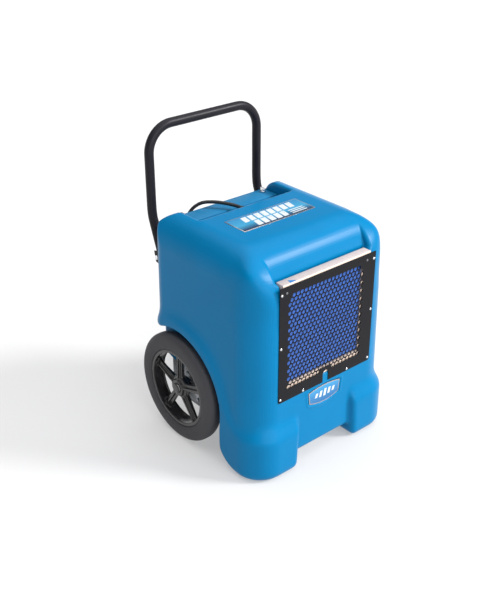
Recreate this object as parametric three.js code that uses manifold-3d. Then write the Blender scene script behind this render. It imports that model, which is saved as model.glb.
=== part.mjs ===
// A wheeled commercial dehumidifier: a rotomoulded cabinet over a folded steel chassis, two large wheels,
// a tubular handle that folds back, a slide-out air filter and the refrigeration parts behind it.
// Millimetres. +X is to the right seen from the front, +Y to the rear, +Z up. The origin is on the ground,
// below the middle of the object without its mains lead.
import * as THREE from "three";
import { mergeVertices } from "three/addons/utils/BufferGeometryUtils.js";
import Module from "manifold-3d";

const wasm = await Module();
wasm.setup();

// ---------- driving dimensions ----------
const GAP = 0.3; // clearance between touching pieces

const CABINET = {
  halfWidth: 233, // at the height where the sides are narrowest
  draftFrom: 590, // the sides widen below this height
  draft: 0.00007, // share of the width gained for each millimetre of height lost
  front: -236.7,
  rear: 183.5,
  top: 617,
  skirt: 42, // lower edge of the front skirt between the feet
  wall: 5,
  domeRadius: 127.7, // front edge of the top
  sideRadius: 76, // side edges of the top
  frontCorner: 80, // upright front corners
  rearCorner: 50, // upright rear corners and the back of the ears
};
const FOOT = { inner: 98, outer: 247, front: -254.4, corner: 78, shoulder: 112, top: 157, heel: 30 };
const ARCH = { radius: 173, inner: 205, front: -103.6, opening: 190 };
const FENDER = { radius: 197, shoulder: 24, depth: 15, inner: 150, bottom: 84, front: -192, level: 118 };
const RECESS = { halfWidth: 157, front: 70, shelf: 588.5 };
const POCKET = { halfWidth: 153, slotHalfWidth: 158.4, bottom: 246.7, back: -201, slotFrom: 544 };
const AIRWAY = { halfWidth: 140, bottom: 255, top: 535 };
const GRILLE = { halfWidth: 163.6, bottom: 222.6, top: 544, thickness: 1.6, notch: 10, notchTop: 257 };
const FILTER = { size: 300, depth: 25, border: 22, bottom: 247, front: -233.5 };
const LABEL = { halfWidth: 120, front: -61, rear: 18, thickness: 0.8 };
const BADGE = { halfWidth: 57, bottom: 159, top: 213.5, depth: 2 };
const WHEEL = { y: 68.7, radius: 155, outer: 257.4, width: 45, bead: 110.8, sides: 32, spokes: 5 };
const AXLE = { radius: 8, inner: 184, outer: 252 };
const CHASSIS = { halfWidth: 199, front: -98, rear: 154, bottom: 88, sideTop: 212, endTop: 184, sheet: 2.5 };
const COIL = { halfWidth: 140, depth: 50, bottom: 228, top: 532 };
const EVAPORATOR_FRONT = -188;
const CONDENSER_FRONT = -127;
const FAN = { z: 388, radius: 121, hub: 28, blades: 5, front: -54, rear: -22 };
const SHROUD = { front: -66, radius: 126, depth: 48 };
const COMPRESSOR = { x: 72, y: 72, radius: 62, bottom: 104, top: 262 };
const PANEL = { halfWidth: 156.6, thickness: 3, front: 78.5, bottom: 190, step: 125, gutter: 10 };
const EXHAUST = { halfWidth: 118, bottom: 214, top: 434 };
const CONTROL = { halfWidth: 74, bottom: 464, top: 548, thickness: 2.4 };
const HANDLE = { radius: 12.5, bore: 10.7, x: 181.7, y: 242.5, z: 818.5, bend: 71 };
const PIVOT = { y: 204, z: 478, bolt: 4, bore: 4.4 };
const CORD = { radius: 4.75, exitY: 96, exitZ: 600 };
const WINDING = { x: 70, y: 329.25, radius: 70, layers: 4 };

// ---------- colours ----------
function finish(color, roughness, metalness = 0) {
  return new THREE.MeshStandardMaterial({ color, roughness, metalness });
}
const FINISH = {
  cabinet: finish(0x1f90ca, 0.45),
  galvanised: finish(0xa9adb0, 0.4, 0.9),
  bright: finish(0xd8dadd, 0.2, 1),
  blackSteel: finish(0x1c1c20, 0.45, 0.5),
  blackPlastic: finish(0x141416, 0.4),
  rubber: finish(0x56565c, 0.8),
  blackRubber: finish(0x1a1a1a, 0.7),
  media: finish(0x2d5497, 0.9),
  card: finish(0xe8e0cf, 0.8),
  aluminium: finish(0xc4c7c9, 0.35, 0.9),
  copper: finish(0xb8734a, 0.3, 1),
  label: finish(0x9fd3f0, 0.3),
  display: finish(0x20282a, 0.15),
  red: finish(0xb02020, 0.4),
};

// ---------- solids ----------
const turnOver = (triangles) => {
  for (let i = 0; i < triangles.length; i += 3) {
    const second = triangles[i + 1];
    triangles[i + 1] = triangles[i + 2];
    triangles[i + 2] = second;
  }
  return triangles;
};

// A closed three.js geometry as a manifold solid, its faces turned outwards.
function solidOf(geometry) {
  const bare = geometry.clone();
  bare.deleteAttribute("normal");
  bare.deleteAttribute("uv");
  const merged = mergeVertices(bare, 1e-3);
  const vertProperties = merged.attributes.position.array;
  const triVerts = new Uint32Array(merged.index.array);
  const made = new wasm.Manifold(new wasm.Mesh({ numProp: 3, vertProperties, triVerts }));
  if (made.volume() > 0) {
    return made;
  }
  return new wasm.Manifold(new wasm.Mesh({ numProp: 3, vertProperties, triVerts: turnOver(triVerts) }));
}

function geometryOf(solid) {
  const { vertProperties, triVerts } = solid.getMesh();
  const geometry = new THREE.BufferGeometry();
  geometry.setAttribute("position", new THREE.BufferAttribute(vertProperties, 3));
  geometry.setIndex(new THREE.BufferAttribute(triVerts, 1));
  return geometry;
}

const join = (...solids) => solids.reduce((all, next) => all.add(next));
const cut = (...solids) => solids.reduce((base, tool) => base.subtract(tool));
const common = (...solids) => solids.reduce((all, next) => all.intersect(next));

// A box between two limits along each axis.
function box([x0, x1], [y0, y1], [z0, z1]) {
  const geometry = new THREE.BoxGeometry(x1 - x0, y1 - y0, z1 - z0);
  return solidOf(geometry.translate((x0 + x1) / 2, (y0 + y1) / 2, (z0 + z1) / 2));
}

// Round bars and cones along an axis; the end radius defaults to the start radius.
function rodX(x0, x1, [y, z], radius, sides = 16, endRadius = radius) {
  const geometry = new THREE.CylinderGeometry(endRadius, radius, x1 - x0, sides);
  return solidOf(geometry.rotateZ(-Math.PI / 2).translate((x0 + x1) / 2, y, z));
}
function rodY(y0, y1, [x, z], radius, sides = 16, endRadius = radius) {
  const geometry = new THREE.CylinderGeometry(endRadius, radius, y1 - y0, sides);
  return solidOf(geometry.translate(x, (y0 + y1) / 2, z));
}
function rodZ(z0, z1, [x, y], radius, sides = 16, endRadius = radius) {
  const geometry = new THREE.CylinderGeometry(endRadius, radius, z1 - z0, sides);
  return solidOf(geometry.rotateX(Math.PI / 2).translate(x, y, (z0 + z1) / 2));
}

// Outlines pushed along an axis: (y, z) along X, (x, z) along Y and (x, y) along Z.
function prismX(outline, x0, x1, { curveSegments = 6, bevel = 0, bevelDepth = 0 } = {}) {
  const geometry = new THREE.ExtrudeGeometry(outline, {
    depth: x1 - x0 - 2 * bevelDepth,
    curveSegments,
    bevelEnabled: bevel > 0,
    bevelSize: bevel,
    bevelThickness: bevelDepth,
    bevelSegments: 2,
  });
  const turn = new THREE.Matrix4().set(0, 0, 1, x0 + bevelDepth, 1, 0, 0, 0, 0, 1, 0, 0, 0, 0, 0, 1);
  return solidOf(geometry.applyMatrix4(turn));
}
function prismY(outline, y0, y1, curveSegments = 6) {
  const geometry = new THREE.ExtrudeGeometry(outline, { depth: y1 - y0, curveSegments, bevelEnabled: false });
  return solidOf(geometry.rotateX(Math.PI / 2).translate(0, y1, 0));
}
function prismZ(outline, z0, z1, curveSegments = 6) {
  const geometry = new THREE.ExtrudeGeometry(outline, { depth: z1 - z0, curveSegments, bevelEnabled: false });
  return solidOf(geometry.translate(0, 0, z0));
}

// A profile of [radius, distance along the axis] points turned about a line along X or Z.
const profile = (points) => points.map(([radius, along]) => new THREE.Vector2(radius, along));
function turnedX(points, [x, y, z], sides) {
  const geometry = new THREE.LatheGeometry(profile(points), sides);
  return solidOf(geometry.rotateZ(-Math.PI / 2).translate(x, y, z));
}
function turnedZ(points, [x, y, z], sides) {
  const geometry = new THREE.LatheGeometry(profile(points), sides);
  return solidOf(geometry.rotateX(Math.PI / 2).translate(x, y, z));
}

// A round bar along a curve, with twice as many sides as given; a bore makes it a pipe with open ends.
function tube(curve, radius, steps, halfSides, bore = 0) {
  const section = new THREE.Shape().absarc(0, 0, radius, 0, 2 * Math.PI, false);
  if (bore > 0) {
    section.holes.push(new THREE.Path().absarc(0, 0, bore, 0, 2 * Math.PI, true));
  }
  const options = { steps, curveSegments: halfSides, extrudePath: curve, bevelEnabled: false };
  return solidOf(new THREE.ExtrudeGeometry(section, options));
}
function smooth(rows) {
  const points = rows.map((row) => new THREE.Vector3(...row));
  return new THREE.CatmullRomCurve3(points, false, "centripetal");
}

const polygon = (rows) => new THREE.Shape(rows.map(([u, v]) => new THREE.Vector2(u, v)));

// A rectangle between two limits along each axis, with one corner radius at low v and one at high v.
function roundedOutline([u0, u1], [v0, v1], lowRadius, highRadius = lowRadius) {
  const outline = new THREE.Shape();
  outline.absarc(u1 - lowRadius, v0 + lowRadius, lowRadius, -Math.PI / 2, 0, false);
  outline.absarc(u1 - highRadius, v1 - highRadius, highRadius, 0, Math.PI / 2, false);
  outline.absarc(u0 + highRadius, v1 - highRadius, highRadius, Math.PI / 2, Math.PI, false);
  outline.absarc(u0 + lowRadius, v0 + lowRadius, lowRadius, Math.PI, 1.5 * Math.PI, false);
  return outline;
}

const bothSides = [
  ["left", -1],
  ["right", 1],
];
const span = (side, a, b) => (side > 0 ? [a, b] : [-b, -a]);

// ---------- the assembly ----------
const dehumidifier = new THREE.Group();
function add(name, solid, material) {
  const mesh = new THREE.Mesh(geometryOf(solid), material);
  mesh.name = name;
  dehumidifier.add(mesh);
  return mesh;
}

// ---------- cabinet ----------
function bodySide(inset) {
  const { front, rear, top, skirt, domeRadius, rearCorner } = CABINET;
  const outline = new THREE.Shape();
  outline.moveTo(front + inset, skirt + inset);
  outline.lineTo(rear - inset, skirt + inset);
  outline.absarc(rear - rearCorner, top - rearCorner, rearCorner - inset, 0, Math.PI / 2, false);
  outline.absarc(front + domeRadius, top - domeRadius, domeRadius - inset, Math.PI / 2, Math.PI, false);
  return outline;
}

function bodyFront(inset) {
  const { halfWidth, top, sideRadius } = CABINET;
  const outline = new THREE.Shape();
  outline.moveTo(-halfWidth + inset, 0);
  outline.lineTo(halfWidth - inset, 0);
  outline.absarc(halfWidth - sideRadius, top - sideRadius, sideRadius - inset, 0, Math.PI / 2, false);
  outline.absarc(sideRadius - halfWidth, top - sideRadius, sideRadius - inset, Math.PI / 2, Math.PI, false);
  return outline;
}

function bodyPlan(inset) {
  const { halfWidth, front, rear, frontCorner, rearCorner } = CABINET;
  return roundedOutline(
    [-halfWidth + inset, halfWidth - inset],
    [front + inset, rear - inset],
    frontCorner - inset,
    rearCorner - inset,
  );
}

// The sides lean out slightly towards the ground.
function withDraft(solid) {
  const geometry = geometryOf(solid);
  const place = geometry.attributes.position;
  for (let i = 0; i < place.count; i++) {
    place.setX(i, place.getX(i) * (1 + CABINET.draft * (CABINET.draftFrom - place.getZ(i))));
  }
  return solidOf(geometry);
}

function bodyBlock(inset) {
  const along = prismX(bodySide(inset), -300, 300, { curveSegments: 5 });
  const across = prismY(bodyFront(inset), -300, 300, 4);
  const upright = prismZ(bodyPlan(inset), 0, 700, 4);
  return withDraft(common(along, across, upright));
}

// One front corner block, down to the ground and proud of the front and the side.
function footBlock(side, inset) {
  const { inner, outer, front, shoulder, top, heel, corner } = FOOT;
  const profileSide = new THREE.Shape();
  profileSide.moveTo(-60, top - inset);
  profileSide.lineTo(CABINET.front + inset, top - inset);
  profileSide.quadraticCurveTo(front + inset, shoulder + 24, front + inset, shoulder);
  profileSide.absarc(front + heel, heel, heel - inset, Math.PI, 1.5 * Math.PI, false);
  profileSide.lineTo(-60, inset);
  const profileFront = new THREE.Shape();
  profileFront.moveTo(inner + 4 + inset, inset);
  profileFront.lineTo(outer - heel, inset);
  profileFront.absarc(outer - heel, heel, heel - inset, -Math.PI / 2, 0, false);
  profileFront.lineTo(outer - inset, shoulder);
  profileFront.lineTo(outer - inset - FENDER.depth, top - 8 - inset);
  profileFront.lineTo(inner - 4 + inset, top - inset);
  const plan = new THREE.Shape();
  plan.absarc(inner - 4 + inset + 14, front + inset + 14, 14, Math.PI, 1.5 * Math.PI, false);
  plan.absarc(outer - corner, front + corner, corner - inset, -Math.PI / 2, 0, false);
  plan.lineTo(outer - inset, -60);
  plan.lineTo(inner - 4 + inset, -60);
  const block = common(
    prismX(profileSide, 0, 300, { curveSegments: 4 }),
    prismY(profileFront, -300, 0, 3),
    prismZ(plan, -1, 200, 4),
  );
  return side > 0 ? block : block.mirror([1, 0, 0]);
}

// The bulge over one wheel, flaring forward into the shoulder of the front foot.
function fender(side) {
  const { radius, shoulder, depth, inner, bottom, front, level } = FENDER;
  const rearRise = Math.acos((CABINET.rear - WHEEL.y) / radius);
  const frontTurn = THREE.MathUtils.degToRad(168);
  const outline = new THREE.Shape();
  outline.moveTo(CABINET.rear, bottom);
  outline.lineTo(CABINET.rear, WHEEL.radius + radius * Math.sin(rearRise));
  outline.absarc(WHEEL.y, WHEEL.radius, radius, rearRise, frontTurn, false);
  outline.quadraticCurveTo(front + 58, level, front + 4, level);
  outline.lineTo(front, level);
  outline.lineTo(front, bottom);
  const across = [-FOOT.outer, FOOT.outer];
  const along = [FOOT.front, CABINET.rear + 1];
  const plan = roundedOutline(across, along, FOOT.corner, CABINET.rearCorner);
  const [x0, x1] = span(side, inner, FOOT.outer);
  const bulge = prismX(outline, x0, x1, { curveSegments: 9, bevel: shoulder, bevelDepth: depth });
  return common(bulge, prismZ(plan, 0, 700, 4));
}

// What lies behind the front feet and below the cabinet's walls.
function undercut(inset, top) {
  const outline = new THREE.Shape();
  outline.moveTo(300, top);
  outline.lineTo(ARCH.front - inset, top);
  outline.lineTo(ARCH.front - inset, 76);
  outline.quadraticCurveTo(ARCH.front - inset - 6, 12, -195 - inset, -1);
  outline.lineTo(-195 - inset, -10);
  outline.lineTo(300, -10);
  return outline;
}

function housing() {
  const { wall, front } = CABINET;
  const arches = bothSides.map(([, side]) => {
    const [x0, x1] = span(side, ARCH.inner, 300);
    return rodX(x0, x1, [WHEEL.y, WHEEL.radius], ARCH.radius, 36);
  });
  const archWalls = bothSides.map(([, side]) => {
    const [x0, x1] = span(side, ARCH.inner - wall, 300);
    return rodX(x0, x1, [WHEEL.y, WHEEL.radius], ARCH.radius + wall, 36);
  });
  const cheeks = bothSides.map(([, side]) => {
    const x = span(side, RECESS.halfWidth, RECESS.halfWidth + wall);
    return box(x, [RECESS.front - wall, 200], [ARCH.opening - 5, 620]);
  });
  const pocketWalls = box(
    [-POCKET.slotHalfWidth - wall, POCKET.slotHalfWidth + wall],
    [-300, POCKET.back + wall],
    [POCKET.bottom - wall, 620],
  );
  const stepWall = box(
    [-RECESS.halfWidth - 1, RECESS.halfWidth + 1],
    [RECESS.front - wall, RECESS.front],
    [RECESS.shelf - 14, 620],
  );
  const outer = join(bodyBlock(0), footBlock(-1, 0), footBlock(1, 0), fender(-1), fender(1));
  const inner = cut(
    join(bodyBlock(wall), footBlock(-1, wall), footBlock(1, wall)),
    prismX(undercut(wall, ARCH.opening), -300, 300),
    ...archWalls,
    ...cheeks,
    pocketWalls,
    stepWall,
  );
  const badgeSeat = prismY(badgeOutline(0.6), front - 1, front + BADGE.depth);
  const airway = box(
    [-AIRWAY.halfWidth, AIRWAY.halfWidth],
    [POCKET.back - 1, POCKET.back + wall + 1],
    [AIRWAY.bottom, AIRWAY.top],
  );
  return cut(
    outer,
    inner,
    prismX(undercut(0, ARCH.opening), -300, 300),
    ...arches,
    box([-RECESS.halfWidth, RECESS.halfWidth], [RECESS.front, 300], [ARCH.opening - 10, 700]),
    box([-POCKET.halfWidth, POCKET.halfWidth], [-300, POCKET.back], [POCKET.bottom, 700]),
    box([-POCKET.slotHalfWidth, POCKET.slotHalfWidth], [-300, POCKET.back], [POCKET.slotFrom, 700]),
    airway,
    rodY(RECESS.front - wall - 1, RECESS.front + 1, [0, CORD.exitZ], 8.6),
    badgeSeat,
  );
}

// A shield with bowed upper and lower edges.
function badgeOutline(margin) {
  const { halfWidth, bottom, top } = BADGE;
  const outline = new THREE.Shape();
  outline.moveTo(-halfWidth - margin, top - 8 + margin);
  outline.lineTo(-halfWidth + 4 - margin, bottom + 11 - margin);
  outline.quadraticCurveTo(0, bottom - 9 - margin, halfWidth - 4 + margin, bottom + 11 - margin);
  outline.lineTo(halfWidth + margin, top - 8 + margin);
  outline.quadraticCurveTo(0, top + 7 + margin, -halfWidth - margin, top - 8 + margin);
  return outline;
}

function rearPanel() {
  const { halfWidth, thickness, front, bottom, step, gutter } = PANEL;
  const { rear } = CABINET;
  const { shelf } = RECESS;
  const x = [-halfWidth, halfWidth];
  const through = [rear - 10, rear + 1];
  const controlReach = CONTROL.halfWidth - 8;
  return cut(
    join(
      box(x, [step, rear], [shelf - thickness, shelf]),
      box(x, [step, step + thickness], [shelf - gutter - thickness, shelf]),
      box(x, [front, step + thickness], [shelf - gutter - thickness, shelf - gutter]),
      box(x, [rear - thickness, rear], [bottom, shelf]),
      box(x, [front, front + thickness], [shelf - gutter - thickness, shelf]),
    ),
    box([-EXHAUST.halfWidth, EXHAUST.halfWidth], through, [EXHAUST.bottom, EXHAUST.top]),
    box([-controlReach, controlReach], through, [CONTROL.bottom + 8, CONTROL.top - 8]),
  );
}

function exhaustGrille() {
  const y = [CABINET.rear + GAP, CABINET.rear + 4.3];
  const reach = EXHAUST.halfWidth + 8;
  const [z0, z1] = [EXHAUST.bottom - 8, EXHAUST.top + 8];
  const frame = cut(
    box([-reach, reach], y, [z0, z1]),
    box([-reach + 10, reach - 10], [y[0] - 1, y[1] + 1], [z0 + 10, z1 - 10]),
  );
  const bars = [];
  const count = 11;
  for (let i = 1; i < count; i++) {
    const z = z0 + ((z1 - z0) * i) / count;
    bars.push(box([-reach + 5, reach - 5], y, [z - 3, z + 3]));
  }
  const post = box([-4, 4], y, [z0 + 5, z1 - 5]);
  return join(frame, post, ...bars);
}

function intakeGrille() {
  const { halfWidth, bottom, top, thickness, notch, notchTop } = GRILLE;
  const outline = roundedOutline([-halfWidth, halfWidth], [bottom, top], 6, 1);
  const rear = CABINET.front - GAP;
  const mouth = new THREE.Shape();
  mouth.moveTo(notch, bottom - 5);
  mouth.lineTo(notch, notchTop - notch);
  mouth.absarc(0, notchTop - notch, notch, 0, Math.PI, false);
  mouth.lineTo(-notch, bottom - 5);
  return cut(prismY(outline, rear - thickness, rear), prismY(mouth, rear - thickness - 1, rear + 1));
}

// Quarter-turn wing that holds the shelf of the rear panel.
function panelLatch(side) {
  const x = side * 138;
  const y = 164;
  const base = RECESS.shelf + GAP;
  return join(
    rodZ(base, base + 3, [x, y], 8, 16),
    rodZ(base + 2, base + 6, [x, y], 4, 12),
    box([x - 1.6, x + 1.6], [y - 9, y + 9], [base + 2.5, base + 12]),
  );
}

// ---------- filter ----------
function filterFrame() {
  const { size, depth, border, bottom, front } = FILTER;
  const half = size / 2;
  const open = half - border;
  return cut(
    box([-half, half], [front, front + depth], [bottom, bottom + size]),
    box([-open, open], [front - 1, front + depth + 1], [bottom + border, bottom + size - border]),
  );
}

function filterMedia() {
  const { size, depth, border, bottom, front } = FILTER;
  const half = size / 2 - border - GAP;
  const low = bottom + border + GAP;
  return box([-half, half], [front + 2, front + depth - 3], [low, low + 2 * half]);
}

// ---------- refrigeration ----------
// Finned block with a tube bend at each end of every row.
function finnedCoil(front) {
  const { halfWidth, depth, bottom, top } = COIL;
  const fins = 14;
  const pitch = (2 * halfWidth - 12) / fins;
  const slots = [];
  for (let i = 0; i < fins; i++) {
    const x = -halfWidth + 6 + pitch * (i + 0.5);
    const half = pitch * 0.28;
    slots.push(box([x - half, x + half], [front - 1, front + depth - 12], [bottom + 4, top - 4]));
  }
  const bends = [];
  const rows = 4;
  const rise = (top - bottom) / rows;
  for (let i = 0; i < rows; i++) {
    for (const side of [-1, 1]) {
      const z = bottom + rise * (i + 0.5) + side * 6;
      const start = side * (halfWidth - 2);
      const peak = side * (halfWidth + 12);
      const y = front + depth / 2;
      bends.push(
        tube(
          smooth([
            [start, y, z - 10],
            [peak - side * 4, y, z - 8],
            [peak, y, z],
            [peak - side * 4, y, z + 8],
            [start, y, z + 10],
          ]),
          4,
          5,
          3,
        ),
      );
    }
  }
  return join(cut(box([-halfWidth, halfWidth], [front, front + depth], [bottom, top]), ...slots), ...bends);
}

function drainPan() {
  const x = 150;
  const y = [-192, -72];
  return cut(
    join(
      box([-x, x], y, [204, 222]),
      rodZ(192, 206, [-120, -84], 7, 12),
    ),
    box([-x + 2.5, x - 2.5], [y[0] + 2.5, y[1] - 2.5], [206.5, 230]),
    rodZ(190, 210, [-120, -84], 5, 12),
  );
}

function compressor() {
  const { x, y, radius, bottom, top } = COMPRESSOR;
  const points = [
    [0, 0],
    [radius - 14, 0],
    [radius, 16],
    [radius, top - bottom - 30],
    [radius - 10, top - bottom - 10],
    [radius - 34, top - bottom],
    [0, top - bottom],
  ];
  const body = turnedZ(points, [x, y, bottom], 28);
  const feet = prismZ(roundedOutline([x - 66, x + 66], [y - 66, y + 66], 16), bottom - 1, bottom + 3, 3);
  return join(body, feet, box([x - 14, x + 14], [y - radius - 14, y - radius + 8], [176, 216]));
}

const MOUNT_SPOTS = [
  [-54, -54],
  [54, -54],
  [0, 56],
];
function compressorMount([dx, dy]) {
  const { x, y, bottom } = COMPRESSOR;
  return rodZ(CHASSIS.bottom + CHASSIS.sheet + GAP, bottom - 1 - GAP, [x + dx, y + dy], 11, 14, 8);
}

const ACCUMULATOR = { x: -30, y: 112, radius: 27, top: 236 };
function accumulator() {
  const { x, y, radius, top } = ACCUMULATOR;
  const floor = CHASSIS.bottom + CHASSIS.sheet + GAP;
  return join(
    rodZ(floor + 18, top - 12, [x, y], radius, 20),
    rodZ(top - 13, top, [x, y], radius, 20, 10),
    rodZ(floor, floor + 20, [x, y], 16, 12),
  );
}

// From the top of the accumulator up and across to the evaporator's upper corner.
function suctionLine() {
  const { x, y, top } = ACCUMULATOR;
  const entry = COIL.halfWidth + 0.8;
  return tube(
    smooth([
      [x, y, top + GAP],
      [x, y, top + 40],
      [x - 60, y - 20, top + 70],
      [-165, 40, 340],
      [-170, -60, 380],
      [-172, -140, 430],
      [-164, -161, 448],
      [-152, -163, 450],
      [-entry, -163, 450],
    ]),
    6,
    28,
    4,
  );
}

// From the compressor's shell to the condenser's upper corner.
function dischargeLine() {
  const { x, y, radius } = COMPRESSOR;
  const out = (reach) => [x + reach * Math.SQRT1_2, y - reach * Math.SQRT1_2];
  const entry = COIL.halfWidth + 0.8;
  return tube(
    smooth([
      [...out(radius + 1.4), 200],
      [...out(radius + 16), 202],
      [152, 12, 232],
      [170, -20, 300],
      [174, -70, 400],
      [170, -98, 452],
      [160, -102, 461],
      [150, -102, 462],
      [entry, -102, 462],
    ]),
    4.5,
    26,
    4,
  );
}

// ---------- fan ----------
function fanShroud() {
  const { front, radius, depth } = SHROUD;
  const ring = [
    [radius, 0],
    [radius + 3, 0],
    [radius + 3, depth],
    [radius, depth],
    [radius, 0],
  ];
  const hoop = new THREE.LatheGeometry(profile(ring), 36).translate(0, front, FAN.z);
  return join(
    cut(
      box([-156, 156], [front, front + 3], [224, 552]),
      rodY(front - 5, front + 10, [0, FAN.z], radius + 1, 36),
    ),
    solidOf(hoop),
  );
}

function motorBracket() {
  const rear = SHROUD.front + SHROUD.depth;
  const y = [rear + GAP, rear + 4];
  const arms = [45, 135].map((angle) => {
    const arm = new THREE.BoxGeometry(2 * SHROUD.radius + 30, y[1] - y[0], 16);
    arm.rotateY(THREE.MathUtils.degToRad(angle)).translate(0, (y[0] + y[1]) / 2, FAN.z);
    return solidOf(arm);
  });
  return cut(
    join(...arms, rodY(y[0], y[0] + 34, [0, FAN.z], 50, 24)),
    rodY(y[0] - 1, y[0] + 40, [0, FAN.z], 44.6, 24),
  );
}

function fanMotor() {
  const front = SHROUD.front + SHROUD.depth + 4;
  return cut(
    join(
      rodY(front, front + 72, [0, FAN.z], 44, 24),
      rodY(front + 71, front + 78, [0, FAN.z], 30, 20),
    ),
    rodY(front - 1, front + 20, [0, FAN.z], 6, 12),
  );
}

function fanShaft() {
  return rodY(FAN.front - 6, SHROUD.front + SHROUD.depth + 20, [0, FAN.z], 5, 12);
}

function fanBlade() {
  const { z, radius, hub, blades, front, rear } = FAN;
  const outline = new THREE.Shape();
  const sweep = THREE.MathUtils.degToRad(27);
  outline.moveTo(hub - 6, -12);
  outline.lineTo(radius * Math.cos(sweep), -radius * Math.sin(sweep));
  outline.absarc(0, 0, radius, -sweep, sweep, false);
  outline.lineTo(hub - 6, 12);
  const pitch = THREE.MathUtils.degToRad(20);
  const pieces = [];
  for (let i = 0; i < blades; i++) {
    const blade = new THREE.ExtrudeGeometry(outline, { depth: 2, curveSegments: 4, bevelEnabled: false });
    blade.translate(0, 0, -1).rotateX(pitch);
    blade.rotateX(Math.PI / 2).rotateY((2 * Math.PI * i) / blades);
    pieces.push(solidOf(blade.translate(0, (front + rear) / 2 - 1, z)));
  }
  const boss = rodY(front + 2, rear, [0, z], hub, 20);
  return cut(join(boss, ...pieces), rodY(front - 9, rear + 9, [0, z], 5.3, 12));
}

// ---------- water ----------
const PUMP = { x: [-176, -84], y: [14, 96] };
function pumpTank() {
  const floor = CHASSIS.bottom + CHASSIS.sheet + GAP;
  return cut(
    box(PUMP.x, PUMP.y, [floor, 158]),
    box([PUMP.x[0] + 3, PUMP.x[1] - 3], [PUMP.y[0] + 3, 36], [floor + 3, 170]),
  );
}
function pumpMotor() {
  const centre = [-130, 68];
  return join(rodZ(158 + GAP, 200, centre, 24, 20), rodZ(199, 208, centre, 14, 16));
}
function panHose() {
  return tube(
    smooth([
      [-120, -84, 192 - GAP],
      [-120, -84, 184],
      [-121, -60, 176],
      [-124, 0, 176],
      [-125, 17, 172],
      [-125, 25, 158],
      [-125, 25, 142],
    ]),
    6,
    16,
    4,
  );
}
function drainFitting() {
  const spot = [-128, 140];
  const face = CHASSIS.rear + GAP;
  return join(
    rodY(CHASSIS.rear - 12, face + 1, spot, 8, 12),
    rodY(face, face + 6, spot, 13, 6),
    rodY(face + 5, face + 26, spot, 9, 14),
    rodY(face + 20, face + 26, spot, 11, 14, 9),
  );
}

// ---------- electrical ----------
function controlBox() {
  const rear = CABINET.rear - PANEL.thickness - GAP;
  return cut(
    box([-96, 96], [rear - 62, rear], [456, 560]),
    box([-94, 94], [rear - 60, rear + 1], [458, 558]),
  );
}
function controlBoard() {
  const rear = CABINET.rear - PANEL.thickness - GAP;
  return join(
    box([-60, 60], [rear - 40, rear - 38], [470, 546]),
    rodY(rear - 59.5, rear - 39, [34, 500], 12, 14),
    box([-44, -12], [rear - 59, rear - 39], [484, 512]),
  );
}
const CONTROL_FACE = CABINET.rear + GAP + CONTROL.thickness;
const BUTTON = { radius: 6, z: 490, x: [14, 36, 58], rise: 3 };
const ROCKER = { x: -44, z: 492, halfWidth: 9, halfHeight: 13 };
function controlPanel() {
  const { halfWidth, bottom, top } = CONTROL;
  const y = [CABINET.rear + GAP, CONTROL_FACE];
  return cut(
    prismY(roundedOutline([-halfWidth, halfWidth], [bottom, top], 6), ...y, 4),
    ...BUTTON.x.map((x) => rodY(y[0] - 1, y[1] + 1, [x, BUTTON.z], BUTTON.radius + 0.5, 16)),
    box(
      [ROCKER.x - ROCKER.halfWidth - 0.6, ROCKER.x + ROCKER.halfWidth + 0.6],
      [y[0] - 1, y[1] + 1],
      [ROCKER.z - ROCKER.halfHeight - 0.6, ROCKER.z + ROCKER.halfHeight + 0.6],
    ),
  );
}
function button(x) {
  return rodY(CABINET.rear - 2, CONTROL_FACE + BUTTON.rise, [x, BUTTON.z], BUTTON.radius, 16);
}
function powerRocker() {
  const { x, z, halfWidth, halfHeight } = ROCKER;
  const outline = polygon([
    [CABINET.rear - 4, z - halfHeight + 3],
    [CONTROL_FACE + 0.6, z - halfHeight + 0.6],
    [CONTROL_FACE + 0.2, z],
    [CONTROL_FACE + 3.4, z + halfHeight - 1.4],
    [CABINET.rear - 4, z + halfHeight - 3],
  ]);
  return prismX(outline, x - halfWidth, x + halfWidth);
}

// ---------- chassis and running gear ----------
function baseFrame() {
  const { halfWidth, front, rear, bottom, sideTop, endTop, sheet } = CHASSIS;
  const inside = [-halfWidth + sheet, halfWidth - sheet];
  const tray = cut(
    box([-halfWidth, halfWidth], [front, rear], [bottom, sideTop]),
    box(inside, [front + sheet, rear - sheet], [bottom + sheet, sideTop + 1]),
    box(inside, [front - 1, rear + 1], [endTop, sideTop + 1]),
  );
  return cut(
    tray,
    rodX(-300, 300, [WHEEL.y, WHEEL.radius], AXLE.radius + 0.4),
    rodY(rear - 6, rear + 6, [-128, 140], 8.5, 16),
  );
}

function axleBracket(side) {
  const [x0, x1] = span(side, CHASSIS.halfWidth + GAP, CHASSIS.halfWidth + GAP + 4);
  const outline = polygon([
    [WHEEL.y - 42, 96],
    [WHEEL.y + 42, 96],
    [WHEEL.y + 42, 128],
    [WHEEL.y + 20, 178],
    [WHEEL.y - 20, 178],
    [WHEEL.y - 42, 128],
  ]);
  const heads = [-30, 30].map((dy) => {
    const [h0, h1] = side > 0 ? [x1 - 1, x1 + 4] : [x0 - 4, x0 + 1];
    return rodX(h0, h1, [WHEEL.y + dy, 110], 7, 6);
  });
  return cut(
    join(prismX(outline, x0, x1), ...heads),
    rodX(-300, 300, [WHEEL.y, WHEEL.radius], AXLE.radius + 0.4),
  );
}

function axle(side) {
  const centre = [WHEEL.y, WHEEL.radius];
  const [x0, x1] = span(side, AXLE.inner, AXLE.outer);
  const [h0, h1] = span(side, AXLE.inner - 8, AXLE.inner + 4);
  return join(rodX(x0, x1, centre, AXLE.radius), rodX(h0, h1, centre, 14, 6));
}

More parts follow.
